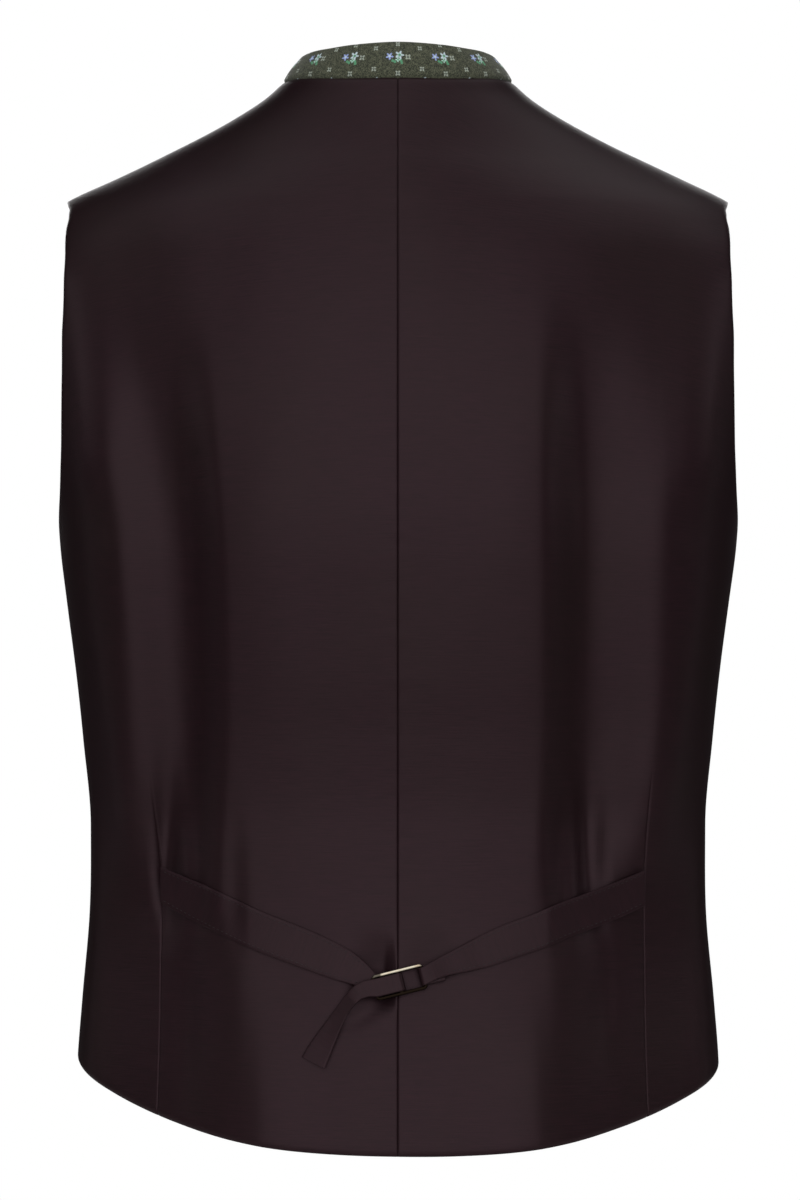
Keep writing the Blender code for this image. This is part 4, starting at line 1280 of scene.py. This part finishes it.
# buttons and buttonholes
button = {
    "count": 7,
    "top": -94.0,
    "low": -548.0,
    "radius": 8.0,
    "rim": (            # how far inside the radius, and the height there
        (0.4, 0.0),
        (0.1, 0.12),
        (0.0, 0.45),
        (0.0, 0.85),
        (0.25, 1.1),
        (0.75, 1.22),
        (1.15, 1.05),
    ),
    "dome": 3.45,           # height of the dome over the rim's last point
    "domeSteps": 12,
    "turns": 48,
    "seat": 0.45,           # its back over the cloth
    "holeFrom": -3.0,       # from the button's middle toward the front's edge
    "holeTo": 14.5,
    "holeHalf": 0.9,        # half the slit's width between its two rows of stitches
    "holeSteps": 7,
    "stitch": 1.5,
    "stitchRise": 0.1,
    "pitch": 0.55,
}


def buttonAxes(number):
    z = button["top"] + (button["low"] - button["top"]) * number / (button["count"] - 1)
    length = halfRound(z)
    place = onBody(z, length)
    normal = outward(z, length)
    return Vector(place), Vector(normal), z


def makeButton(number):
    place, normal, _ = buttonAxes(number)
    profile = [(0.0, 0.0)] + [(button["radius"] - inside, height) for inside, height in button["rim"]]
    inner, shoulder = profile[-1]
    for i in range(1, button["domeSteps"] + 1):
        angle = math.pi / 2 * i / button["domeSteps"]
        profile.append((inner * math.cos(angle), shoulder + button["dome"] * math.sin(angle)))
    bm = bmesh.new()
    spots = [bm.verts.new((x * mm, 0.0, h * mm)) for x, h in profile]
    lines = [bm.edges.new(pair) for pair in zip(spots, spots[1:])]
    bmesh.ops.spin(bm, geom=spots + lines, cent=(0, 0, 0), axis=(0, 0, 1), angle=2 * math.pi,
                   steps=button["turns"], use_merge=True)
    bmesh.ops.remove_doubles(bm, verts=bm.verts, dist=weld)
    bmesh.ops.recalc_face_normals(bm, faces=bm.faces)
    turn = normal.to_track_quat("Z", "Y").to_matrix().to_4x4()
    seat = Matrix.Translation((place + normal * button["seat"]) * mm)
    bmesh.ops.transform(bm, matrix=seat @ turn, verts=bm.verts)
    mesh = meshFrom(bm, f"domedButton_{number + 1}", sharpFrom=50)
    addPiece(mesh, (oldSilver,), f"button_{number + 1}")


def makeButtonholes():
    # close stitches across each side of the slit and round its ends, on the left front
    half = button["holeHalf"]
    straight = np.arange(button["holeFrom"], button["holeTo"], button["pitch"])
    spots = [(x, side * half, 0.0, side) for side in (1.0, -1.0) for x in straight]
    for end, towards in ((button["holeTo"], 1.0), (button["holeFrom"], -1.0)):
        for angle in np.linspace(-math.pi / 2, math.pi / 2, button["holeSteps"])[1:-1]:
            runX, runZ = towards * math.cos(angle), math.sin(angle)
            spots.append((end + half * runX, half * runZ, runX, runZ))
    stitches = []
    for number in range(button["count"]):
        z = buttonAxes(number)[2]
        for x, rise, runX, runZ in spots:
            length = halfRound(z) - x
            place = Vector(onBody(z + rise, length))
            normal = Vector(outward(z + rise, length))
            stitches.append((place + normal * button["stitchRise"], (runX, 0.0, runZ), normal))
    addPiece(stitchMesh("buttonholeStitches", stitches, button["stitch"]), (greenThread,), None)


for number in range(button["count"]):
    makeButton(number)
makeButtonholes()
print("buttons made")


# studio
studio = {             # lengths in metres
    "cameraPlace": (-0.0012, 2.4, -0.300),
    "lens": 124.1,
    "sensor": 36.0,
    "nearest": 0.05,
    "floor": -0.95,
    "floorRadius": 1.35,
    "worldLight": 0.015,
    "lights": (         # place, aim, width and height, and watts
        ("softboxBack", (0.0, 2.9, -0.25), (0.0, 0.05, -0.30), (3.4, 2.4), 42.0),
        ("softboxFront", (0.0, -2.8, 0.6), (0.0, 0.0, -0.30), (3.4, 1.1), 40.0),
        ("overhead", (-0.12, 0.25, 2.3), (0.0, 0.05, -0.10), (4.8, 2.8), 38.0),
        ("overheadBack", (0.0, 2.3, 1.35), (0.0, 0.05, -0.15), (3.0, 1.2), 15.0),
        ("sideLeft", (2.4, 0.7, 0.5), (0.0, 0.05, -0.25), (0.9, 1.4), 7.0),
        ("sideRight", (-2.4, 0.7, 0.5), (0.0, 0.05, -0.25), (0.9, 1.4), 7.0),
        ("rimLeft", (2.5, -0.6, -0.5), (0.0, 0.05, -0.40), (0.6, 1.6), 1.0),
        ("rimRight", (-2.5, -0.6, -0.5), (0.0, 0.05, -0.40), (0.6, 1.6), 1.0),
    ),
}


def makeFloor():
    bm = bmesh.new()
    bmesh.ops.create_circle(bm, cap_ends=True, segments=96, radius=studio["floorRadius"],
                            matrix=Matrix.Translation((0, 0, studio["floor"])))
    floor = addObject("floor", meshFrom(bm, "floor"))
    material, _ = newMaterial("paleStudioFloor", roughness=0.9, Base_Color=toLinear("#e9e8e6"))
    floor.data.materials.append(material)


def addLight(name, place, aim, size, watts):
    light = bpy.data.lights.new(name, "AREA")
    light.shape = "RECTANGLE"
    light.size, light.size_y = size
    light.energy = watts
    lamp = addObject(name, light)
    lamp.location = place
    lamp.rotation_euler = (Vector(aim) - Vector(place)).to_track_quat("-Z", "Y").to_euler()


def makeWorld():
    # plain white behind the object, and an even dim light from all round
    world = bpy.data.worlds.new("studioWorld")
    bpy.context.scene.world = world
    world.use_nodes = True
    nodes, links = world.node_tree.nodes, world.node_tree.links
    shine = nodes["Background"]
    shine.inputs["Color"].default_value = (1.0, 1.0, 1.0, 1.0)
    seen = nodes.new("ShaderNodeLightPath")
    strength = nodes.new("ShaderNodeMapRange")
    strength.inputs["To Min"].default_value = studio["worldLight"]
    strength.inputs["To Max"].default_value = 1.0
    links.new(seen.outputs["Is Camera Ray"], strength.inputs["Value"])
    links.new(strength.outputs[0], shine.inputs["Strength"])


def makeCamera():
    # straight behind the object, looking to -Y
    camera = addObject("camera", bpy.data.cameras.new("camera"))
    camera.location = studio["cameraPlace"]
    camera.rotation_euler = (math.radians(90.0), 0.0, math.radians(180.0))
    camera.data.lens = studio["lens"]
    camera.data.sensor_width = studio["sensor"]
    camera.data.clip_start = studio["nearest"]
    bpy.context.scene.camera = camera


makeFloor()
makeWorld()
makeCamera()
for light in studio["lights"]:
    addLight(*light)
bpy.context.scene.view_settings.view_transform = "Standard"
print("studio ready")
